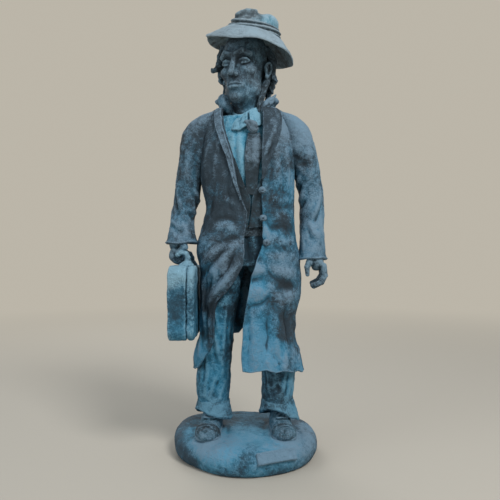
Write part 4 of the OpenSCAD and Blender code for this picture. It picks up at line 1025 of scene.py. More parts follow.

# The pale wash and dry-brush patches along the outer side of the chest and on top of the shoulder are painted
# highlights where the light falls on that side.
coat_piece(
    "coat_front_left_skin", "coat_front_left", left_edge, [(50, side_seam), (290, side_seam)],
    [(-10, 58), (1, 55.4), (6, 56.4), (16, 57.4), (25, 54.6), (36, 55.8), (48, 53.6), (60, 54.2), (73, 51.6),
     (90, 52.6)],
    seen(
        # knuckled edge and the two lumps where the fold doubles over the thigh
        (6.0, 3.4, 7.5, 143), (2.0, -2.4, 2, 134, 9, 136, 15, 138), (6.5, 3.0, 10, 124),
        (1.9, -1.8, 4, 112, 14, 115, 21, 121), (2.4, -1.5, 16, 147, 22, 139, 30, 133, 42, 131),
        (4.0, 1.8, 24, 144, 33, 140, 42, 141), (5.0, 2.1, 37, 118), (2.2, -1.5, 24, 126, 32, 128, 43, 128),
        (3.2, 1.5, 18, 132, 26, 121, 32, 108),
        # long folds of the skirt
        (3.6, 1.9, 8, 108, 9, 84, 10, 58), (1.5, -1.4, 3.2, 112, 3.4, 84, 3, 56),
        (3.0, -1.8, 19, 104, 19.5, 84, 17, 70), (3.6, 1.7, 25, 108, 27, 88, 28, 66),
        (3.6, -2.5, 34, 108, 37, 92, 40, 74), (3.4, 1.8, 42, 108, 46, 84, 47, 62), (2.6, 1.2, 15, 78, 18, 66, 22, 56),
        (2.4, -1.0, 24, 72, 30, 60), (3, 1.2, 34, 72, 34, 56),
        # chest, pocket and waist
        (3.2, 1.2, 14, 204, 13, 190, 15, 178), (2.2, -1.3, 22, 200, 30, 197, 36, 199),
        (2.8, 1.1, 22, 205, 32, 203, 38, 206), (3.4, -1.5, 22, 180, 31, 181, 40, 178),
        (3.4, 1.6, 14, 182, 20, 172, 21, 164), (2.0, -1.2, 10, 176, 14, 170, 16, 164),
        (3.0, 1.2, 25, 170, 34, 166, 42, 170), (1.6, -0.9, 24, 164, 30, 161, 36, 163),
        (2.4, 1.0, 16, 158, 24, 154, 34, 156), (3.4, 1.0, 26, 258, 28, 238, 26, 220),
        (2.8, -1.0, 22, 250, 23, 232, 21, 214), (3.4, 1.0, 36, 246, 38, 226, 37, 208),
        (2.6, -1.0, 32, 240, 33, 220, 33, 206),
        (3.8, 1.3, 40, 214, 40.5, 196, 40, 186), (2.6, 1.0, 16, 222, 17, 208),
        (1.6, -0.9, 11.5, 200, 12.5, 190, 12, 180)),
    seed=211, rows=176, cols=110, wash=0.38, dry_brush_and_light=0.16,
    wash_and_light_spots=[(39, -12, 223, 8, 0.4), (12, -27, 74, 10, 0.35), (24, -25, 92, 8, 0.2), (7, -25, 143, 9, 0.6),
            (9, -25, 126, 9, 0.95), (12, -26, 160, 8, 0.4), (8, -28, 86, 12, 0.4), (14, -27, 62, 12, 0.5),
            (40, -10, 212, 10, 0.35), (41, -8, 190, 8, 0.3), (14, -26, 190, 9, 0.3), (18, -26, 176, 9, 0.35),
            (14, -26, 72, 14, 0.5), (9, -28, 98, 12, 0.28),
            (30, -22, 176, 12, 0.1), (24, -26, 66, 12, 0.35), (48, -10, 60, 9, 0.5), (4, -28, 60, 8, 0.4),
            (28, -22, 72, 9, 0.3), (40, -16, 118, 8, 0.2), (30, -22, 205, 8, -0.2), (32, -20, 186, 8, -0.2),
            (32, -20, 132, 12, -0.25), (36, -18, 92, 12, -0.35)],
    dry_brush_and_light_spots=[(39, -12, 222, 9, 0.4), (32, -14, 272, 12, 0.35), (7, -25, 146, 8, 0.65), (10, -25, 118, 5, 0.2),
          (12, -26, 60, 7, 0.2), (30, -22, 146, 12, 0.22), (22, -24, 106, 10, -0.12), (40, -10, 200, 14, 0.15),
          (26, -22, 250, 18, 0.3), (34, -14, 270, 14, 0.4), (20, -24, 176, 8, 0.25), (36, -16, 120, 9, 0.35),
          (36, -16, 152, 10, 0.25),
          (31, -21, 205, 8, -0.35), (32, -20, 183, 7, -0.35), (31, -20, 131, 9, -0.3), (36, -18, 92, 12, -0.45),
          (19, -24, 88, 10, -0.2), (12, -24, 226, 9, -0.2), (30, -24, 58, 12, 0.2), (46, -10, 66, 10, 0.25)])

back_hem = [(-100, 51.8), (-84, 52.2), (-60, 53), (-24, 62), (-8, 75), (0, 82), (4, 86), (8, 81), (26, 80), (42, 62),
            (60, 54), (100, 54)]
back_folds = [(3.0, 1.6, 100, 176, 104, 130, 106, 66), (2.6, -1.6, 112, 180, 114, 130, 116, 72),
              (3.4, 1.9, 126, 172, 128, 124, 130, 72), (2.8, -1.8, 140, 182, 142, 134, 146, 84),
              (3.4, 2.0, 156, 170, 158, 126, 160, 86), (2.2, -1.4, 170, 184, 170, 134, 172, 92),
              (1.4, -1.5, 183, 262, 182, 200, 183, 140, 184, 92), (2.6, 1.3, 189, 176, 190, 130, 191, 90),
              (3.4, 1.9, 203, 172, 206, 126, 208, 90), (2.8, -1.8, 218, 182, 219, 134, 222, 84),
              (3.4, 1.9, 233, 172, 234, 124, 236, 74), (2.6, -1.5, 246, 178, 248, 130, 250, 66),
              (3.0, 1.6, 258, 176, 260, 128, 262, 66), (3.6, -1.2, 120, 190, 150, 186, 180, 188, 215, 185, 244, 190),
              (3.4, 1.3, 130, 198, 160, 196, 185, 200), (3.2, 1.2, 195, 202, 222, 196, 240, 200),
              (4.0, 1.2, 140, 262, 152, 240, 150, 216), (4.0, 1.2, 222, 262, 212, 238, 214, 214),
              (3.4, -1.1, 128, 250, 134, 228, 130, 210), (3.4, -1.1, 236, 250, 230, 226, 234, 208),
              (2.6, 1.0, 110, 236, 124, 222, 140, 214), (2.6, 1.0, 252, 238, 240, 224, 226, 214),
              (3.0, -1.2, 100, 226, 108, 206, 106, 190), (3.0, -1.2, 262, 226, 254, 206, 256, 190),
              (5, 1.4, 165, 275, 184, 272, 200, 275)]
# The first wash patch lightens the inside of the back where it shows between the legs: painted light where shade falls.
coat_piece("coat_back_skin", "coat_back", [(50, 80.15), (290, 80.15)], [(50, 279.85), (290, 279.85)],
           [(180 + a, z) for a, z in back_hem], back_folds, seed=221, rows=176, cols=190, wash=0.24, dry_brush_and_light=0.28,
           wash_and_light_spots=[(-6, 20, 122, 16, 0.35), (-20, 32, 100, 22, 0.3), (25, 34, 80, 22, 0.35), (0, 30, 200, 26, 0.2),
                   (20, 28, 250, 18, 0.15), (-26, 28, 160, 18, 0.2), (30, 25, 150, 14, 0.3), (-10, 28, 250, 16, -0.15),
                   (5, 32, 140, 16, -0.15)],
           dry_brush_and_light_spots=[(0, 26, 268, 26, 0.3), (30, 20, 262, 14, 0.25), (-30, 20, 262, 14, 0.25), (0, 34, 120, 30, 0.1),
                 (-30, 28, 80, 16, 0.2), (28, 30, 66, 16, 0.2)], big=0.75)

# ---- Lapels, collar and buttons of the overcoat ----
# Facings folded back along the front edges, a turned-up collar with one end curled over and the other pinched out
# like a leaf, and three balls of paste pressed flat for buttons.
lapel_wall = 1.6


def right_lapel_out(a, z):
    belly = 1.35 + 0.5 * np.sin(np.clip((z - 205) / 75, 0, 1) * math.pi)
    folds = thumbed(a, z, coat_reach,
                    seen((1.5, -0.8, -16, 268, -9, 244, -4, 222), (1.8, 0.7, -20, 272, -12, 250, -6, 230)))
    return belly + cloth_noise(a, z, 231, coat_reach, 0.45, 0.2) + folds


mid = coat_sheet([(z, e - 13 * (z - 188) / 90) for z, e in right_edge if 200 < z < 300],
                 [(z, e - 0.2) for z, e in right_edge if 200 < z < 300],
                 [(-70, 205), (0, 203)], [(-90, 286), (0, 286)], right_lapel_out, 92, 30)
points, faces = sheet(mid, lapel_wall, 0.45)
press("lapel_right_fold", points, faces, coat_paint, ["lapel_right"], wash=0.12, dry_brush_and_light=0.5, settle=0.3,
      dry_brush_and_light_spots=[(-6, -26, 226, 10, 0.2)])


def left_lapel_out(a, z):
    folds = thumbed(a, z, coat_reach, seen((1.6, 0.9, 15, 240, 19, 252, 24, 268), (1.4, -0.9, 18, 240, 23, 254)))
    return 1.3 + cloth_noise(a, z, 241, coat_reach, 0.5, 0.2) + folds


mid = coat_sheet([(212, 11.5), (222, 13), (238, 13.5), (256, 14), (272, 15.5), (290, 20)],
                 [(z, e + 9 * (z - 212) / 60) for z, e in left_edge if 200 < z < 300],
                 [(0, 220), (60, 226)], [(0, 286), (90, 287)], left_lapel_out, 70, 30)
points, faces = sheet(mid, lapel_wall, 0.45)
press("lapel_left_fold", points, faces, coat_paint, ["lapel_left"], wash=0.04, dry_brush_and_light=0.14, settle=0.3,
      dry_brush_and_light_spots=[(15, -24, 250, 4, 0.2)])

round_neck = [(50, 20.6, 15.8), (70, 21.4, 16), (95, 21.8, 16), (120, 21.6, 16), (145, 21.2, 16), (170, 21, 16),
              (195, 21, 16), (220, 21.2, 16), (245, 21.6, 16), (270, 21.6, 15.6), (290, 20.4, 15), (303, 19.6, 14.6)]


def collar_line(out, height, ends=0.0):
    """Points round the neck, out from the collar's foot and height above it."""
    return [(1 + (rx + out) * math.sin(math.radians(a)), 5 - (ry + out) * math.cos(math.radians(a)),
             286 + height - ends * abs((a - 176) / 127) ** 3) for a, rx, ry in round_neck]


def collar_field(p):
    d = strung(p, collar_line(0.6, 0), 1.8, 1.0)
    d = blend(d, strung(p, collar_line(1.6, 3.2), 1.35, 1.0), 2.6)
    d = blend(d, strung(p, collar_line(2.8, 6.4, 0.6), 1.3, 1.0), 2.6)
    d = blend(d, strung(p, collar_line(4.2, 9.4, 1.6), 1.35, 1.0), 2.6)
    d = blend(d, strung(p, collar_line(5.8, 11.4, 2.8), 1.7, 1.0), 2.2)
    d = blend(d, strung(p, [(-15.6, -7.0, 286, 3.6), (-18.8, -8.8, 290, 5.2), (-19.8, -8.2, 294, 5.2),
                            (-20.4, -4.6, 296, 3.8)], 4), 2.0)
    d = scoop(d, strung(p, [(-13.4, -12.5, 285), (-15.2, -14.2, 290), (-17.0, -13.8, 295.5)], 0.9), 1.2)
    d = blend(d, strung(p, [(13.4, -8.4, 284.5, 3.2), (17.6, -8.6, 289.5, 4.0), (22.6, -8.0, 293.5, 2.4),
                            (26.6, -7.4, 299, 0.8)], 2), 1.6)
    d = scoop(d, strung(p, [(18.0, -12.4, 286), (22.6, -11.4, 291), (26.0, -9.6, 297)], 0.8), 1.0)
    d = blend(d, strung(p, [(20.8, -5.0, 291, 2.0), (24.4, -3.4, 294.5, 1.2), (27.4, -3.0, 293.6, 0.8)], 2), 1.0)
    return d - 0.36 * lumps(p, 6, 251) - 0.24 * lumps(p, 2.8, 252) - 0.1 * lumps(p, 1.4, 253)


points, faces = knead(collar_field, (-31, -18, 280), (32, 30, 302), 0.58)
press("coat_collar_turned_up", points, faces, coat_paint, ["coat_collar"], wash=0.34, dry_brush_and_light=0.32,
      settle=0.3, wash_and_light_spots=[(-21, -10, 291, 6, 0.25)],
      dry_brush_and_light_spots=[(24, -8, 294, 8, 0.35), (-21, -10, 292, 7, 0.15), (0, 24, 297, 20, 0.15)])

parts = []
for k, (angle, height) in enumerate([(13.5, 212), (14, 188), (19, 167)]):
    spot = on_coat(angle, height)

    def button_field(p):
        q = p - (spot + [0, -0.9, 0])
        d = ball(q, (0, 0, 0), (2.9, 1.9, 2.8))
        d = blend(d, ball(q, (0, 0.6, 0), (3.3, 1.2, 3.2)), 0.6)
        return scoop(d, ball(q, (-0.2, -2.4, -0.6), (1.2, 0.9, 1.1)), 0.7) - 0.14 * lumps(p, 1.6, 261 + k)

    parts.append(knead(button_field, spot - [4.4, 4, 4.4], spot + [4.4, 2.4, 4.4], 0.36))
points, faces = joined(parts)
press("coat_buttons_pressed", points, faces, coat_paint, ["coat_buttons"], wash=0.2, dry_brush_and_light=0.35,
      settle=0.15, rounds=12)

# ---- Sleeves ----
# Tubes of pasted paper bent at the elbow while wet, creased inside the bend, with the cuff's edge rolled outwards.
# Their tops are pressed into the coat's shoulders, and their lower ends stand hollow round the wrists.
sleeve_rows = {"right": [[167, -57.6, -1, 13.7, 14], [176, -57.8, 0, 12, 12.5], [188, -57.3, 2, 10.8, 12],
                         [206, -54, 4, 11.3, 12.5], [224, -51.8, 4, 12, 13], [240, -48.6, 3, 12.6, 14],
                         [258, -45.6, 2.5, 13.8, 15.8], [269, -42, 2.3, 13.8, 15.6], [277, -36.6, 2.4, 12.1, 14.2],
                         [282.5, -31, 3, 9.4, 11.2], [286, -25, 4, 6, 8]],
               "left": [[153, 59.4, 0, 12.6, 13], [168, 60, 1, 11.3, 12], [188, 59.5, 3, 10.6, 12],
                        [206, 59, 4, 10.8, 12.5], [228, 55.5, 4, 12, 13], [240, 53, 3, 12.8, 14],
                        [258, 48, 2.5, 14, 15.8], [269, 44, 2.3, 14, 15.6], [277, 38.8, 2.4, 12.6, 14.4],
                        [282.5, 33.2, 3, 9.6, 11.2], [286, 27.5, 4, 6, 8]]}


def sleeve(name, low, strokes, seed, wash, dry_brush_and_light, wash_and_light_spots, dry_brush_and_light_spots):
    lip = np.linspace(math.pi * 0.98, 0, 14)
    inner = np.linspace(low + 16, low + 1.6, 12)
    outer = np.linspace(low + 1.8, 285.4, 128)
    heights = np.concatenate([inner, low + 1.5 - 1.7 * np.sin(lip), outer])
    grow = np.concatenate([np.full(12, -2.3), -0.75 - 1.5 * np.cos(math.pi - lip), np.zeros(128)])
    ring, a = limb(sleeve_rows[name], heights, 116)
    z = ring[..., 2]
    rolled = 0.9 * np.exp(-((z - low - 1.6) / 1.6) ** 2)
    out = grow[:, None] + np.where(np.arange(len(heights))[:, None] > 18, rolled + thumbed(a, z, 0.22, strokes),
                                   0.6 * rolled * (np.arange(len(heights))[:, None] > 11))
    flat = ring.reshape(-1, 3)
    out += (0.6 * lumps(flat * [1, 1, 0.7], 10, seed) + 0.34 * lumps(flat, 4.6, seed + 1)
            + 0.18 * lumps(flat, 2.2, seed + 2) + 0.1 * lumps(flat, 1.15, seed + 3)).reshape(out.shape)
    s, c = np.sin(np.radians(a)), np.cos(np.radians(a))
    droop = 1.2 * lumps(np.stack([s.ravel() * 14, c.ravel() * 14, 0 * s.ravel()], 1), 9,
                        seed + 5).reshape(out.shape) * np.exp(-((z - low) / 6) ** 2)
    points, faces = tube(ring + np.stack([out * s, -out * c, droop], -1))
    press("sleeve_" + name + "_skin", points, faces, coat_paint, ["sleeve_" + name], wash=wash, dry_brush_and_light=dry_brush_and_light,
          wash_and_light_spots=wash_and_light_spots, dry_brush_and_light_spots=dry_brush_and_light_spots)


right_sleeve_creases = [(2.4, 1.4, 40, 214, 70, 206, 104, 204), (2.0, -1.5, 44, 208, 74, 200, 104, 198),
                        (2.2, 1.3, 40, 200, 70, 193, 100, 194), (1.8, -1.2, 30, 194, 60, 188, 90, 189),
                        (2.6, 1.3, -60, 224, -40, 208, -10, 198), (2.2, -1.2, -70, 214, -46, 202, -20, 192),
                        (3.0, 1.2, -20, 250, -10, 232, 10, 218), (2.6, -1.0, 10, 252, 20, 236, 30, 224),
                        (2.4, 1.2, -90, 200, -60, 188, -20, 182), (2.4, -1.0, -50, 184, -10, 176, 30, 178),
                        (2.6, 1.1, 20, 184, 30, 174), (2.8, 1.2, 120, 232, 150, 212, 180, 204),
                        (2.4, -1.2, 130, 216, 160, 200, 190, 196), (2.8, 1.2, 200, 240, 220, 214),
                        (2.6, 1.1, 160, 190, 200, 180, 240, 184), (2.6, 1.3, 60, 262, 84, 248, 100, 236),
                        (2.2, -1.2, 70, 254, 90, 240), (2.4, 1.0, -110, 250, -100, 226)]
sleeve("right", 166.4, right_sleeve_creases, seed=301, wash=0.26, dry_brush_and_light=0.24,
       wash_and_light_spots=[(-60, -12, 210, 10, 0.15), (-54, -14, 196, 9, 0.2), (-62, -12, 185, 9, 0.2), (-45, -14, 258, 12, -0.1),
               (-50, -12, 236, 12, 0.1)],
       dry_brush_and_light_spots=[(-58, -12, 180, 10, 0.25), (-62, -10, 200, 10, 0.12), (-52, -12, 232, 10, 0.1), (-44, -2, 278, 12, 0.35),
             (-56, -14, 168, 8, 0.2), (-40, -12, 258, 10, -0.15)])
left_sleeve_creases = [(2.4, 1.4, -40, 226, -66, 220, -100, 218), (2.0, -1.4, -44, 220, -70, 213, -104, 211),
                       (2.2, 1.3, -36, 212, -66, 206, -100, 205), (1.8, -1.2, -30, 205, -60, 199, -90, 198),
                       (2.6, 1.3, 50, 214, 30, 200, 0, 190), (2.2, -1.2, 56, 206, 36, 194, 6, 184),
                       (3.0, 1.2, 20, 252, 14, 234, 0, 220), (2.6, -0.7, -46, 246, -26, 240, 0, 236),
                       (2.6, 1.2, -50, 238, -28, 232, -4, 226), (2.6, 1.2, -20, 186, 0, 176, 30, 172),
                       (2.2, -1.0, -30, 180, -10, 170, 20, 166), (2.6, 1.1, 40, 186, 60, 170),
                       (2.6, 1.2, -60, 176, -46, 162), (2.8, 1.2, 120, 232, 150, 212, 180, 204),
                       (2.4, -1.2, 130, 216, 160, 200, 190, 196), (2.8, 1.2, 200, 240, 220, 214),
                       (2.6, 1.1, 160, 184, 200, 172, 240, 176), (2.4, 1.0, 110, 250, 100, 226),
                       (2.6, 1.2, 84, 226, 90, 204, 84, 186), (2.4, -1.0, 70, 232, 72, 212)]
sleeve("left", 152.4, left_sleeve_creases, seed=311, wash=0.44, dry_brush_and_light=0.38,
       wash_and_light_spots=[(64, -10, 200, 10, 0.25), (60, -12, 180, 10, 0.2), (56, -14, 162, 9, 0.15), (46, -14, 256, 10, 0.1),
               (50, -13, 236, 8, -0.1)],
       dry_brush_and_light_spots=[(62, -10, 182, 14, 0.25), (64, -8, 205, 10, 0.2), (46, -8, 272, 14, 0.45), (50, -12, 256, 14, 0.3),
             (48, -13, 240, 8, -0.15), (56, -12, 222, 9, 0.0), (62, -10, 158, 10, 0.25)])

# ---- Hands ----
# Modelled in fine paste over the ends of the arm wires: the right one closed round the suitcase's handle with the
# thumb across the front, the left one hanging half open.
skin_paint = patina("skin_patina", (0.036, 0.060, 0.082), (0.042, 0.170, 0.265), (0.170, 0.265, 0.335))
grip = np.array([-60, 1, 156.0])


def fist_field(p):
    q = p - grip
    d = ball(p, (-61.8, 1, 165.6), (7.6, 12.4, 8.0))
    d = blend(d, roll(p, (-60, 0, 178), (-60.6, 0.5, 167), 6.0, 6.6), 3)
    a = np.degrees(np.arctan2(-q[:, 2], q[:, 0]))
    a = np.clip(np.where(a < -72, a + 360, a), -20, 232)
    s, c = np.sin(np.radians(a)), np.cos(np.radians(a))
    for i in range(4):
        thick = (3.4 - (0.12, 0, 0.1, 0.42)[i] + 0.3 * np.exp(-((a - 165) / 16) ** 2)
                 + 0.35 * np.exp(-((a - 232) / 18) ** 2) + 0.22 * np.exp(-((a - 78) / 16) ** 2))
        f = np.sqrt((q[:, 0] - 5.2 * c) ** 2 + (q[:, 2] + 5.2 * s) ** 2 + (q[:, 1] - (i - 1.5) * 5.7) ** 2) - thick
        d = blend(d, f, 0.8)
    d = blend(d, ball(p, (-60.4, 1, 157.5), (4.6, 10.6, 5.2)), 1.5)
    d = blend(d, roll(p, (-56.4, -9.5, 170), (-54.6, -11.6, 163), 3.8, 3.4), 2)
    d = blend(d, roll(p, (-54.6, -11.6, 163), (-59.2, -13.0, 158.6), 3.2, 2.7), 0.8)
    d = scoop(d, ball(p, (-59.4, -14.8, 157.6), (1.2, 0.8, 1.1)), 0.5)
    return d - 0.28 * lumps(p, 5, 401) - 0.16 * lumps(p, 2.2, 402) - 0.07 * lumps(p, 1.1, 403)


points, faces = knead(fist_field, (-71, -17.5, 146), (-48, 16, 175), 0.46)
press("hand_right_fist", points, faces, skin_paint, ["hand_right"], wash=0.42, dry_brush_and_light=0.2, settle=0.2,
      dry_brush_and_light_spots=[(-66, -9, 158, 6, 0.25)])


def open_hand_field(p):
    d = ball(p, (63.4, -1, 150.2), (6.6, 10.6, 8.4))
    d = blend(d, roll(p, (60.6, 0, 166), (62.0, 0, 156), 6.2, 6.6), 4)
    d = scoop(d, ball(p, (55.6, -0.5, 146.0), (3.4, 7, 5)), 2.5)
    for i, (reach, bend) in enumerate([(0.94, 0.6), (1.04, -0.4), (1.0, -0.9), (0.84, -1.2)]):
        y = -1 + (i - 1.5) * 4.9
        knots = [(65.2, y, 149), (68.9 + 0.2 * bend, y, 146 - 0.5 * i), (70.0 + 0.4 * bend, y, 141 - 3 * reach),
                 (67.0 + bend, y, 141 - 9.6 * reach), (61.4 + bend, y, 141.4 - 12.8 * reach)]
        f = np.minimum.reduce([roll(p, knots[k], knots[k + 1], r, r - 0.28)
                               for k, r in enumerate((3.0, 3.0, 2.8, 2.5))])
        d = blend(d, f, 0.7)
    d = blend(d, roll(p, (59.6, -6.5, 155), (56.4, -9.6, 149.6), 3.6, 3.1), 2.5)
    d = blend(d, roll(p, (56.4, -9.6, 149.6), (54.2, -10.4, 145.4), 2.9, 2.6), 0.7)
    d = blend(d, roll(p, (54.2, -10.4, 145.4), (54.6, -10.4, 138.8), 2.5, 1.9), 0.6)
    for k in range(3):
        d = scoop(d, roll(p, (68.6, -1 + (k - 1) * 4.9, 150), (71.4, -1 + (k - 1) * 4.9, 143), 0.35), 0.8)
    return d - 0.28 * lumps(p, 5, 411) - 0.16 * lumps(p, 2.2, 412) - 0.07 * lumps(p, 1.1, 413)


points, faces = knead(open_hand_field, (50, -14.5, 125), (74, 11.5, 162), 0.46)
press("hand_left_open", points, faces, skin_paint, ["hand_left"], wash=0.34, dry_brush_and_light=0.42, settle=0.2,
      wash_and_light_spots=[(62, -6, 131, 5, -0.3)], dry_brush_and_light_spots=[(61, -6, 130, 5, -0.45), (68, -8, 150, 7, 0.2)])

# ---- Head ----
# One lump of paste on the neck wire. The face is an ordinary calm one on the usual proportions: eyes half way up, the
# nose and the brows a third and two thirds of the way to the hairline. It is turned towards the figure's right.
face_turn = math.radians(-25)


def on_neck(points):
    """From the head's own frame, with its origin at the chin and its face towards -Y, to the figure's."""
    c, s = math.cos(face_turn), math.sin(face_turn)
    return np.stack([points[:, 0] * c - points[:, 1] * s - 1, points[:, 0] * s + points[:, 1] * c - 3,
                     points[:, 2] + 290], 1)


def head_field(p):
    m = np.abs(p) * [1, 0, 0] + p * [0, 1, 1]
    d = ball(p, (0, 2.0, 43), (19.6, 24.0, 25.5))
    d = blend(d, ball(p, (0, -3.6, 21), (15.4, 18.6, 22)), 6)
    d = blend(d, ball(p, (0, -8.0, 7.5), (11.4, 11.5, 8.2)), 5)
    d = blend(d, ball(p, (0, -17.0, 4.0), (5.2, 4.2, 4.4)), 4)
    d = blend(d, ball(m, (11.2, -13.6, 26.4), (5.0, 6.4, 4.8)), 4)
    d = blend(d, ball(m, (12.6, -2, 12), (3.6, 8, 5)), 5)
    d = blend(d, roll(p, (0, 4.6, -20), (0, 3.0, 12), 10.8, 11.4), 5)
    d = blend(d, strung(m, [(1.6, -22.2, 40.2), (8.6, -21.6, 41.2), (13.6, -17.6, 39.6)], 2.3), 3)
    d = scoop(d, ball(m, (8.4, -24.2, 34.4), (5.0, 4.0, 3.2)), 2.8)
    d = blend(d, ball(m, (8.3, -17.5, 34.2), (4.0, 3.7, 2.9)), 0.6)
    d = blend(d, strung(m, [(12.6, -17.8, 33.6), (10.8, -20.2, 35.0), (8.2, -21.3, 35.3), (5.6, -20.6, 34.6),
                            (4.2, -19.8, 33.6)], 1.0), 0.9)
    d = blend(d, strung(m, [(12.2, -18.0, 33.2), (9.8, -20.0, 31.8), (7.0, -20.5, 31.7), (4.6, -19.7, 32.8)],
                        0.7), 1.0)
    d = blend(d, strung(m, [(3.8, -23.4, 40.6, 1.0), (8.6, -23.0, 42.6, 1.25), (13.8, -18.6, 40.6, 0.7)], 1.1), 0.8)
    d = blend(d, roll(p, (0, -21.6, 38.0), (0, -27.0, 24.6), 1.9, 2.5), 2.4)
    d = blend(d, ball(p, (0, -27.2, 22.6), (2.9, 3.0, 2.6)), 1.2)
    d = blend(d, ball(m, (3.1, -24.4, 21.6), (2.0, 2.8, 2.0)), 1.0)
    d = scoop(d, ball(m, (1.7, -26.2, 19.6), (0.95, 1.5, 0.9)), 0.6)
    d = blend(d, ball(p, (0, -18.4, 13.6), (8.0, 4.6, 5.0)), 3)
    d = blend(d, strung(m, [(0, -22.7, 14.7, 1.15), (2.0, -22.6, 15.2, 1.2), (6.4, -20.2, 13.8, 0.6)], 1), 0.8)
    d = blend(d, strung(m, [(0, -22.5, 11.9, 1.45), (2.8, -22.1, 11.9, 1.35), (6.0, -20.2, 13.0, 0.6)], 1), 0.8)
    d = scoop(d, strung(m, [(0, -24.1, 13.35), (3.0, -23.4, 13.45), (6.6, -20.9, 13.5)], 0.42), 0.5)
    d = scoop(d, ball(p, (0, -23.2, 8.4), (4.6, 1.6, 1.3)), 1.4)
    d = scoop(d, roll(p, (0, -24.9, 19.0), (0, -24.4, 16.6), 0.6), 0.8)
    d = scoop(d, ball(m, (20.8, -6, 42), (2.2, 8, 8)), 4)
    return d - 0.24 * lumps(p, 6, 421) - 0.14 * lumps(p, 2.6, 422) - 0.07 * lumps(p, 1.3, 423)


points, faces = knead(head_field, (-22.5, -32.5, -19), (22.5, 28.5, 71), 0.58)
face = on_neck(points)
press("head_skin", face, faces, skin_paint, ["head"], wash=0.24, dry_brush_and_light=0.32, settle=0.32,
      wash_and_light_spots=[(4, -16, 282, 9, 0.5), (8, -22, 300, 8, 0.25)], dry_brush_and_light_spots=[(10, -24, 306, 8, 0.25), (4, -18, 280, 6, 0.25)])

for side, name in ((-1, "right"), (1, "left")):

    def ear_field(p):
        m = p * [side, 1, 1]
        rim = [(20.4, -0.6, 31.5), (21.8, -0.2, 34.6), (22.6, 2.4, 36.4), (23.2, 5.0, 35.2), (23.2, 6.0, 31.6),
               (22.4, 4.6, 27.6), (21.6, 2.2, 24.6)]
        d = ball(m, (20.6, 2.4, 30.4), (1.9, 3.7, 5.8))
        d = blend(d, strung(m, rim, 1.15), 0.6)
        d = blend(d, ball(m, (21.0, 1.0, 24.0), (1.5, 2.1, 2.3)), 1)
        d = scoop(d, ball(m, (23.2, 1.6, 30.2), (1.5, 2.1, 3.0)), 0.8)
        d = blend(d, ball(m, (21.4, -1.0, 29.4), (1.2, 1.2, 1.7)), 0.6)
        return d - 0.12 * lumps(p, 2.2, 431)

    low, high = sorted((side * 17.5, side * 25.5))
    points, faces = knead(ear_field, (low, -3.5, 20), (high, 9, 39), 0.4)
    press("ear_" + name + "_skin", on_neck(points), faces, skin_paint, ["ear_" + name], wash=0.24,
          dry_brush_and_light=0.3, settle=0.14)

# ---- Hair ----
# Wavy locks, each a rolled strip of paste pushed on beside the last, with the ends of the outer ones flicked out.
# They hang in three bunches, one at each side and one at the back, with fine strands drawn in while they were soft.
locks = {"right": [[(-17.0, -9, 51, 3.0), (-20.0, -8, 45, 3.2), (-22.6, -6.5, 39, 2.8), (-26.2, -5.0, 35.4, 2.2),
                    (-30.0, -4.4, 34.4, 1.6), (-31.4, -4.4, 36.4, 1.0)],
                   [(-18.6, -4, 51, 3.2), (-22.4, -3, 43, 3.4), (-22.8, -1.5, 36, 3.0), (-24.6, 0, 30.6, 2.6),
                    (-25.6, 1, 26.4, 1.7), (-24.4, 0.6, 23.6, 1.1)],
                   [(-19.6, 1, 51, 3.4), (-23.2, 3, 42, 3.6), (-22.2, 5.5, 34, 3.3), (-24.2, 7, 27, 3.0),
                    (-22.8, 8, 21.4, 2.4), (-25.4, 8, 17.2, 1.4)],
                   [(-19.0, 6, 50, 3.6), (-22.6, 9, 40, 3.8), (-20.8, 11, 31, 3.4), (-22.6, 12.5, 23, 3.0),
                    (-20.6, 13, 17.2, 2.4), (-22.8, 14, 13.4, 1.4)],
                   [(-16.4, 12, 50, 3.8), (-19.4, 14.6, 39, 4.0), (-17.6, 16.4, 29, 3.5), (-19.0, 17.6, 20, 3.0),
                    (-16.8, 18, 13.4, 2.2)]],
         "left": [[(18.8, 4.6, 50, 3.2), (22.8, 8.0, 43, 3.4), (23.4, 9.6, 36, 3.1), (22.6, 9.4, 29.6, 2.8),
                   (24.6, 8.6, 24.2, 2.3), (27.2, 8.0, 21.2, 1.4), (26.8, 7.6, 18.6, 0.9)],
                  [(18.0, 9, 50, 3.6), (21.8, 12.6, 41, 3.8), (20.2, 13.6, 32, 3.4), (22.0, 13.6, 24, 3.0),
                   (20.0, 13.0, 17.2, 2.4), (21.4, 12.0, 12.6, 1.4)],
                  [(20.0, 7.0, 27, 2.4), (19.2, 4.4, 20, 3.0), (17.2, 1.6, 12, 3.0), (16.6, -0.8, 5, 2.6),
                   (15.4, -3.0, -2, 2.0), (16.2, -4.4, -7, 1.0)],
                  [(15.6, 14, 49, 3.8), (18.8, 16.6, 39, 4.0), (17.0, 17.6, 29, 3.5), (18.6, 18.2, 20, 3.0),
                   (15.6, 17.6, 13.2, 2.2), (14.4, 15.6, 7.0, 1.5)]],
         "back": [[(x * 0.9, 23.4 - 0.02 * x * x, 52, 3.6), (x + 1.2, 26.6 - 0.03 * x * x, 43, 4.0),
                   (x - 1.0, 26.4 - 0.03 * x * x, 34, 3.8), (x + 1.0, 25.4 - 0.03 * x * x, 25, 3.4),
                   (x * 0.9 - 0.8, 22.8 - 0.02 * x * x, 17.6, 2.7),
                   (x * 0.9 + 0.6, 22.4 - 0.02 * x * x, 12.4 + 0.1 * x, 1.6)]
                  for x in (-12.6, -7.6, -2.6, 2.6, 7.6, 12.6)]}
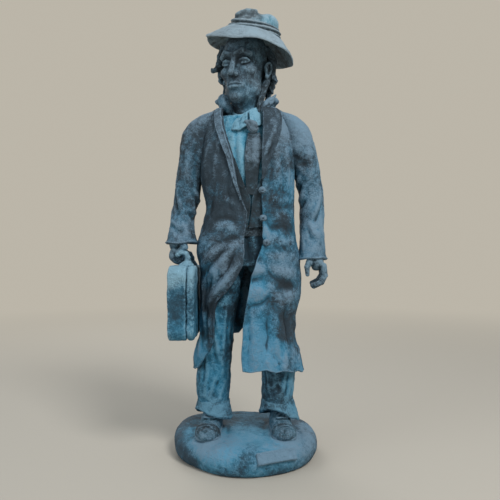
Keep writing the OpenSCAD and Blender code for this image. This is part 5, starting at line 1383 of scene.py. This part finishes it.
for name, low, high, seed in (("right", (-34, -13.5, 8), (-9, 24, 56), 441), ("left", (9, -7, -8), (30, 24, 56), 451),
                              ("back", (-19, 12, 7), (19, 33, 57), 461)):

    def lock_field(p):
        d = None
        for knots in locks[name]:
            e = strung(p, knots, 1, 1.0)
            d = e if d is None else blend(d, e, 0.7)
        strands = np.sin((p[:, 0] * 0.9 - p[:, 1] + 1.4 * np.sin(p[:, 2] * 0.45)) * 2.4 + 1.2 * lumps(p, 6, seed + 3))
        return d - 0.3 * strands - 0.3 * lumps(p, 4, seed) - 0.14 * lumps(p, 1.8, seed + 1)

    points, faces = knead(lock_field, low, high, 0.5)
    press("hair_" + name + "_locks", on_neck(points), faces, dark_paint, ["hair_" + name], wash=0.14,
          dry_brush_and_light=0.14, settle=0.26)

# ---- Hat ----
# A soft felt hat made of one crown lump, pinched and dented with the thumb, a wide drooping brim of three layers with
# its edge turned, and a strip of wet paper twisted round the crown for a band.
hat_paint = patina("hat_patina", (0.078, 0.108, 0.128), (0.080, 0.260, 0.360), (0.270, 0.360, 0.420), speckle=0.35)


def hatted(points):
    """From the hat's own level frame to where it sits, tipped towards the figure's left and a little back."""
    s, c = math.sin(math.radians(8)), math.cos(math.radians(8))
    x, y, z = points[:, 0], points[:, 1] * c - points[:, 2] * s, points[:, 1] * s + points[:, 2] * c
    s, c = math.sin(math.radians(15)), math.cos(math.radians(15))
    return np.stack([x * c + z * s + 7, y - 1, -x * s + z * c + 355], 1)


def crown_field(p):
    z = np.clip(p[:, 2], -0.5, 20.5)
    steps = [-0.5, 7, 11, 14.6, 17.8, 20.5]
    drift, taken = curve(z, steps, [0, 0, 0.5, 1.2, 1.8, 2.2]), curve(z, steps, [0, 1.2, 2.8, 5.4, 9.4, 14.5])
    d = np.hypot(p[:, 0] - drift, p[:, 1] / 1.1) - (21.9 - taken)
    d = scoop(d, 17.6 - p[:, 2], 4.0)
    d = blend(d, ball(p, (-7.6, -2, 12.2), (9.6, 12.5, 6.4)), 4)
    d = blend(d, ball(p, (10.8, -1, 12.8), (7.8, 12, 6.2)), 4)
    d = scoop(d, strung(p, [(0.6, -24, 14), (2.2, -12, 20.5), (3.6, 0, 21.8), (5.0, 14, 20.8)], 4.0), 3.4)
    d = scoop(d, strung(p, [(7.0, -23, 4), (4.2, -21.5, 11), (1.8, -17.5, 17)], 1.7), 2.0)
    d = scoop(d, strung(p, [(18.5, -15, 4), (14.5, -16.5, 10), (11.4, -14, 16)], 1.4), 1.8)
    d = scoop(d, strung(p, [(-19, -13, 8), (-12, -18.5, 11.5), (-4, -20.0, 11.5)], 1.6), 2.0)
    d = blend(d, strung(p, [(-17.5, -11, 10.5), (-10, -15.5, 14.6), (-2, -15.5, 15.8)], 1.7), 3.0)
    d = scoop(d, strung(p, [(-14, 6, 20), (-20, 12, 12), (-19, 14, 4)], 2.2), 3)
    d = scoop(d, strung(p, [(14, 10, 20), (17, 16, 10)], 2.0), 3)
    d = np.maximum(d, -0.5 - p[:, 2])
    return d - 0.42 * lumps(p, 8, 471) - 0.24 * lumps(p, 3.6, 472) - 0.1 * lumps(p, 1.6, 473)


points, faces = knead(crown_field, (-25, -27, -1.5), (25, 27, 24), 0.56)
press("hat_crown_felt", hatted(points), faces, hat_paint, ["hat_crown"], wash=0.34, dry_brush_and_light=0.34, settle=0.5,
      wash_and_light_spots=[(24, -14, 366, 10, 0.45), (19, -20, 362, 6, 0.2)], dry_brush_and_light_spots=[(22, -12, 370, 8, 0.3), (-4, -8, 374, 8, 0.1)])

a = np.radians(np.linspace(-180, 180, 280, endpoint=False))
f = np.radians(np.linspace(0, 360, 88, endpoint=False))[:, None]
t = (1 - np.cos(f)) / 2
r_in = 21.6
turn = np.degrees(a)
reach = curve(turn, [-200, -180, -155, -125, -90, -60, -30, 0, 30, 60, 100, 140, 180, 200],
              [19.6, 20, 19, 17.8, 17.2, 18.6, 20, 19.2, 18.6, 17.6, 17.4, 18.6, 20, 19.6])
reach = reach + 0.4 * np.sin(5 * a + 1) + 0.3 * np.sin(9 * a + 2.4)
drop = curve(turn, [-200, -180, -158, -125, -100, -75, -50, -30, -8, 15, 45, 90, 135, 165, 180, 200],
             [14, 13.2, 14.8, 16.6, 14.0, 10.6, 10.8, 12.6, 15.4, 18.0, 18, 17, 16, 15, 13.2, 14])
drop = drop + 0.6 * np.sin(7 * a + 2)
r = r_in + t * reach
thick = 1.0 + 0.45 * np.exp(-((t - 0.94) / 0.06) ** 2) + 0.3 * np.exp(-(t / 0.1) ** 2)
z = (-drop * t ** (1.2 + 0.5 * np.exp(-((turn + 20) / 60) ** 2)) + 1.4 * (1 - t) ** 3
     - np.sign(np.sin(f)) * thick * np.abs(np.sin(f)) ** 0.32 + 0.8 * t ** 6)
grid = np.stack([r * np.cos(a), (r + 2.2) * np.sin(a), z], -1)
points, faces = hoop(grid)
away = outward(points, faces)
points += away * (0.35 * lumps(points, 9, 481) + 0.26 * lumps(points * [1, 1, 1.4], 4.2, 482)
                  + 0.14 * lumps(points, 2, 483))[:, None]
points[:, 2] += 0.7 * lumps(points, 14, 485)
press("hat_brim_felt", hatted(points), faces, hat_paint, ["hat_brim"], wash=0.24, dry_brush_and_light=0.56, settle=0.36,
      dry_brush_and_light_spots=[(8, -14, 336, 12, 0.4), (-22, -18, 350, 14, 0.1), (2, -38, 345, 14, 0.12), (26, -28, 338, 10, 0.15)])

f = np.radians(np.linspace(0, 360, 64, endpoint=False))[:, None]
z = 3.6 + 4.6 * np.sign(np.sin(f)) * np.abs(np.sin(f)) ** 0.75 + 0 * a
twist = np.sin((z - 2.4 * np.sin(a + 0.8)) * (1.7 + 0.25 * np.cos(a)) + 1.3 * np.sin(2 * a))
r = 21.4 + (2.2 + twist - 0.08 * (z - 2)) * np.cos(f) - 0.02 * np.clip(z, 0, 9) ** 1.5
grid = np.stack([r * np.cos(a), r * 1.1 * np.sin(a), z + 1.3 * np.sin(a + 0.6)], -1)
points, faces = hoop(grid)
points += outward(points, faces) * (0.25 * lumps(points, 4, 491) + 0.14 * lumps(points, 1.8, 492))[:, None]
press("hat_band_twist", hatted(points), faces, hat_paint, ["hat_band"], wash=0.14, dry_brush_and_light=0.5, settle=0.7)

# ---- Suitcase ----
# Two blocks of paste on a card core, the shallow lid pressed to the deep tray with a scored line between them, dented
# all over and rubbed pale along the top, where a painted highlight of the light from above also lies. The handle is a
# strap of paste that spreads where it meets the lid.
case_paint = patina("case_patina", (0.022, 0.072, 0.112), (0.028, 0.180, 0.300), (0.225, 0.395, 0.490), speckle=0.45)
case_mid, case_rise = 3.0, 114.8
case_wide, case_tall, case_corner = 41.0, 32.0, 10.5
tray_sides, lid_sides = (-66.1, -50.45), (-50.25, -43.3)


def case_block(p, x_low, x_high, seed, swell=0.0, edge=1.7):
    q = p - [(x_low + x_high) / 2, case_mid, case_rise]
    e = np.abs(q[:, 1:]) - (np.array([case_wide, case_tall]) - case_corner)
    d = np.linalg.norm(np.maximum(e, 0), axis=1) + np.minimum(e.max(1), 0) - case_corner - swell
    e = np.stack([d + edge, np.abs(q[:, 0]) - (x_high - x_low) / 2 + edge], 1)
    d = np.linalg.norm(np.maximum(e, 0), axis=1) + np.minimum(e.max(1), 0) - edge
    return d - 0.5 * lumps(p, 12, seed) - 0.28 * lumps(p, 5, seed + 1) - 0.2 * lumps(p, 2.4, seed + 2)


def tray_field(p):
    d = case_block(p, *tray_sides, 501)
    bulge = (1.2 * np.exp(-((p[:, 0] + 57) / 6) ** 2) * np.exp(-((p[:, 1] + 38) / 5) ** 2)
             * np.clip((p[:, 2] - 126) / 12, 0, 1))
    past_y = np.maximum(np.abs(p[:, 1] - case_mid) - (case_wide - case_corner), 0)
    past_z = np.maximum(np.abs(p[:, 2] - case_rise) - (case_tall - case_corner), 0)
    depth = case_corner - np.hypot(past_y, past_z)
    for x in (-52.6, -54.2):
        score = np.exp(-((p[:, 0] - x - 0.25 * lumps(p, 9, 507)) / 0.42) ** 2)
        d += 0.55 * score * np.exp(-(np.clip(depth, -1, 9) / 1.6) ** 2)
    d = scoop(d, ball(p, (-64.5, -38.5, 85.5), (2.4, 2.2, 2.6)), 0.8)
    return d - bulge


points, faces = knead(tray_field, (-68.5, -40.5, 80.5), (-48.5, 47, 149.5), 0.72)
# The dry-brush patches along the top are partly rubbed paint and partly a painted highlight of the light from above.
press("case_tray_skin", points, faces, case_paint, ["case_tray"], wash=0.46, dry_brush_and_light=-0.06, settle=0.3,
      dry_brush_and_light_spots=[(-58, -38, 144, 13, 0.62), (-63, -38, 134, 7, 0.4), (-52, -38, 140, 8, 0.35), (-58, 0, 148, 22, 0.5),
            (-58, 30, 147, 18, 0.4), (-65, -38, 86, 3, 0.6), (-58, -39, 86, 9, 0.12)],
      wash_and_light_spots=[(-64, -38, 133, 6, -0.3), (-56, -38, 112, 14, -0.12), (-58, -38, 88, 9, 0.25)])


def lid_field(p):
    return case_block(p, *lid_sides, 511, -0.4, 3.1) - 0.25 * lumps(p, 1.6, 515)


points, faces = knead(lid_field, (-52, -40.5, 80.5), (-41, 47, 149.5), 0.72)
# As on the tray, the dry brush along the top is partly a painted highlight of the light from above.
press("case_lid_skin", points, faces, case_paint, ["case_lid"], wash=0.42, dry_brush_and_light=0.02, settle=0.3,
      dry_brush_and_light_spots=[(-46, -38, 140, 12, 0.35), (-46, 0, 148, 24, 0.4), (-46, 30, 148, 18, 0.3)])


def handle_field(p):
    m = np.stack([p[:, 0], np.abs(p[:, 1] - 1), p[:, 2]], 1)
    d = roll(p, (-60, -15.5, 156), (-60, 17.5, 156), 1.9)
    d = blend(d, strung(m, [(-60, 15.4, 156, 1.9), (-56.5, 16.4, 158.2, 2.0), (-52.6, 16.6, 157.4, 2.2),
                            (-51.0, 16.4, 153.5, 2.5), (-51.2, 16.2, 149.6, 3.1)], 2), 1.2)
    return d - 0.22 * lumps(p, 4, 521) - 0.14 * lumps(p, 1.8, 522)


points, faces = knead(handle_field, (-64, -20, 146.5), (-45, 22, 162), 0.46)
press("case_handle_strap", points, faces, case_paint, ["case_handle"], wash=0.16, dry_brush_and_light=0.42, settle=0.2)


def lug_field(p):
    m = np.stack([p[:, 0], np.abs(p[:, 1] - 1), p[:, 2]], 1)
    d = ball(m, (-52.2, 16.2, 147.0), (6.8, 5.4, 3.2))
    d = blend(d, ball(m, (-51.2, 16.4, 149.4), (4.0, 4.0, 2.6)), 1.5)
    return np.maximum(d, 146.2 - p[:, 2]) - 0.2 * lumps(p, 3, 531) - 0.1 * lumps(p, 1.4, 532)


points, faces = knead(lug_field, (-60, -22, 145.6), (-44, 24, 153.4), 0.46)
press("case_handle_mounds", points, faces, case_paint, ["handle_lugs"], wash=0.14, dry_brush_and_light=0.46, settle=0.2)
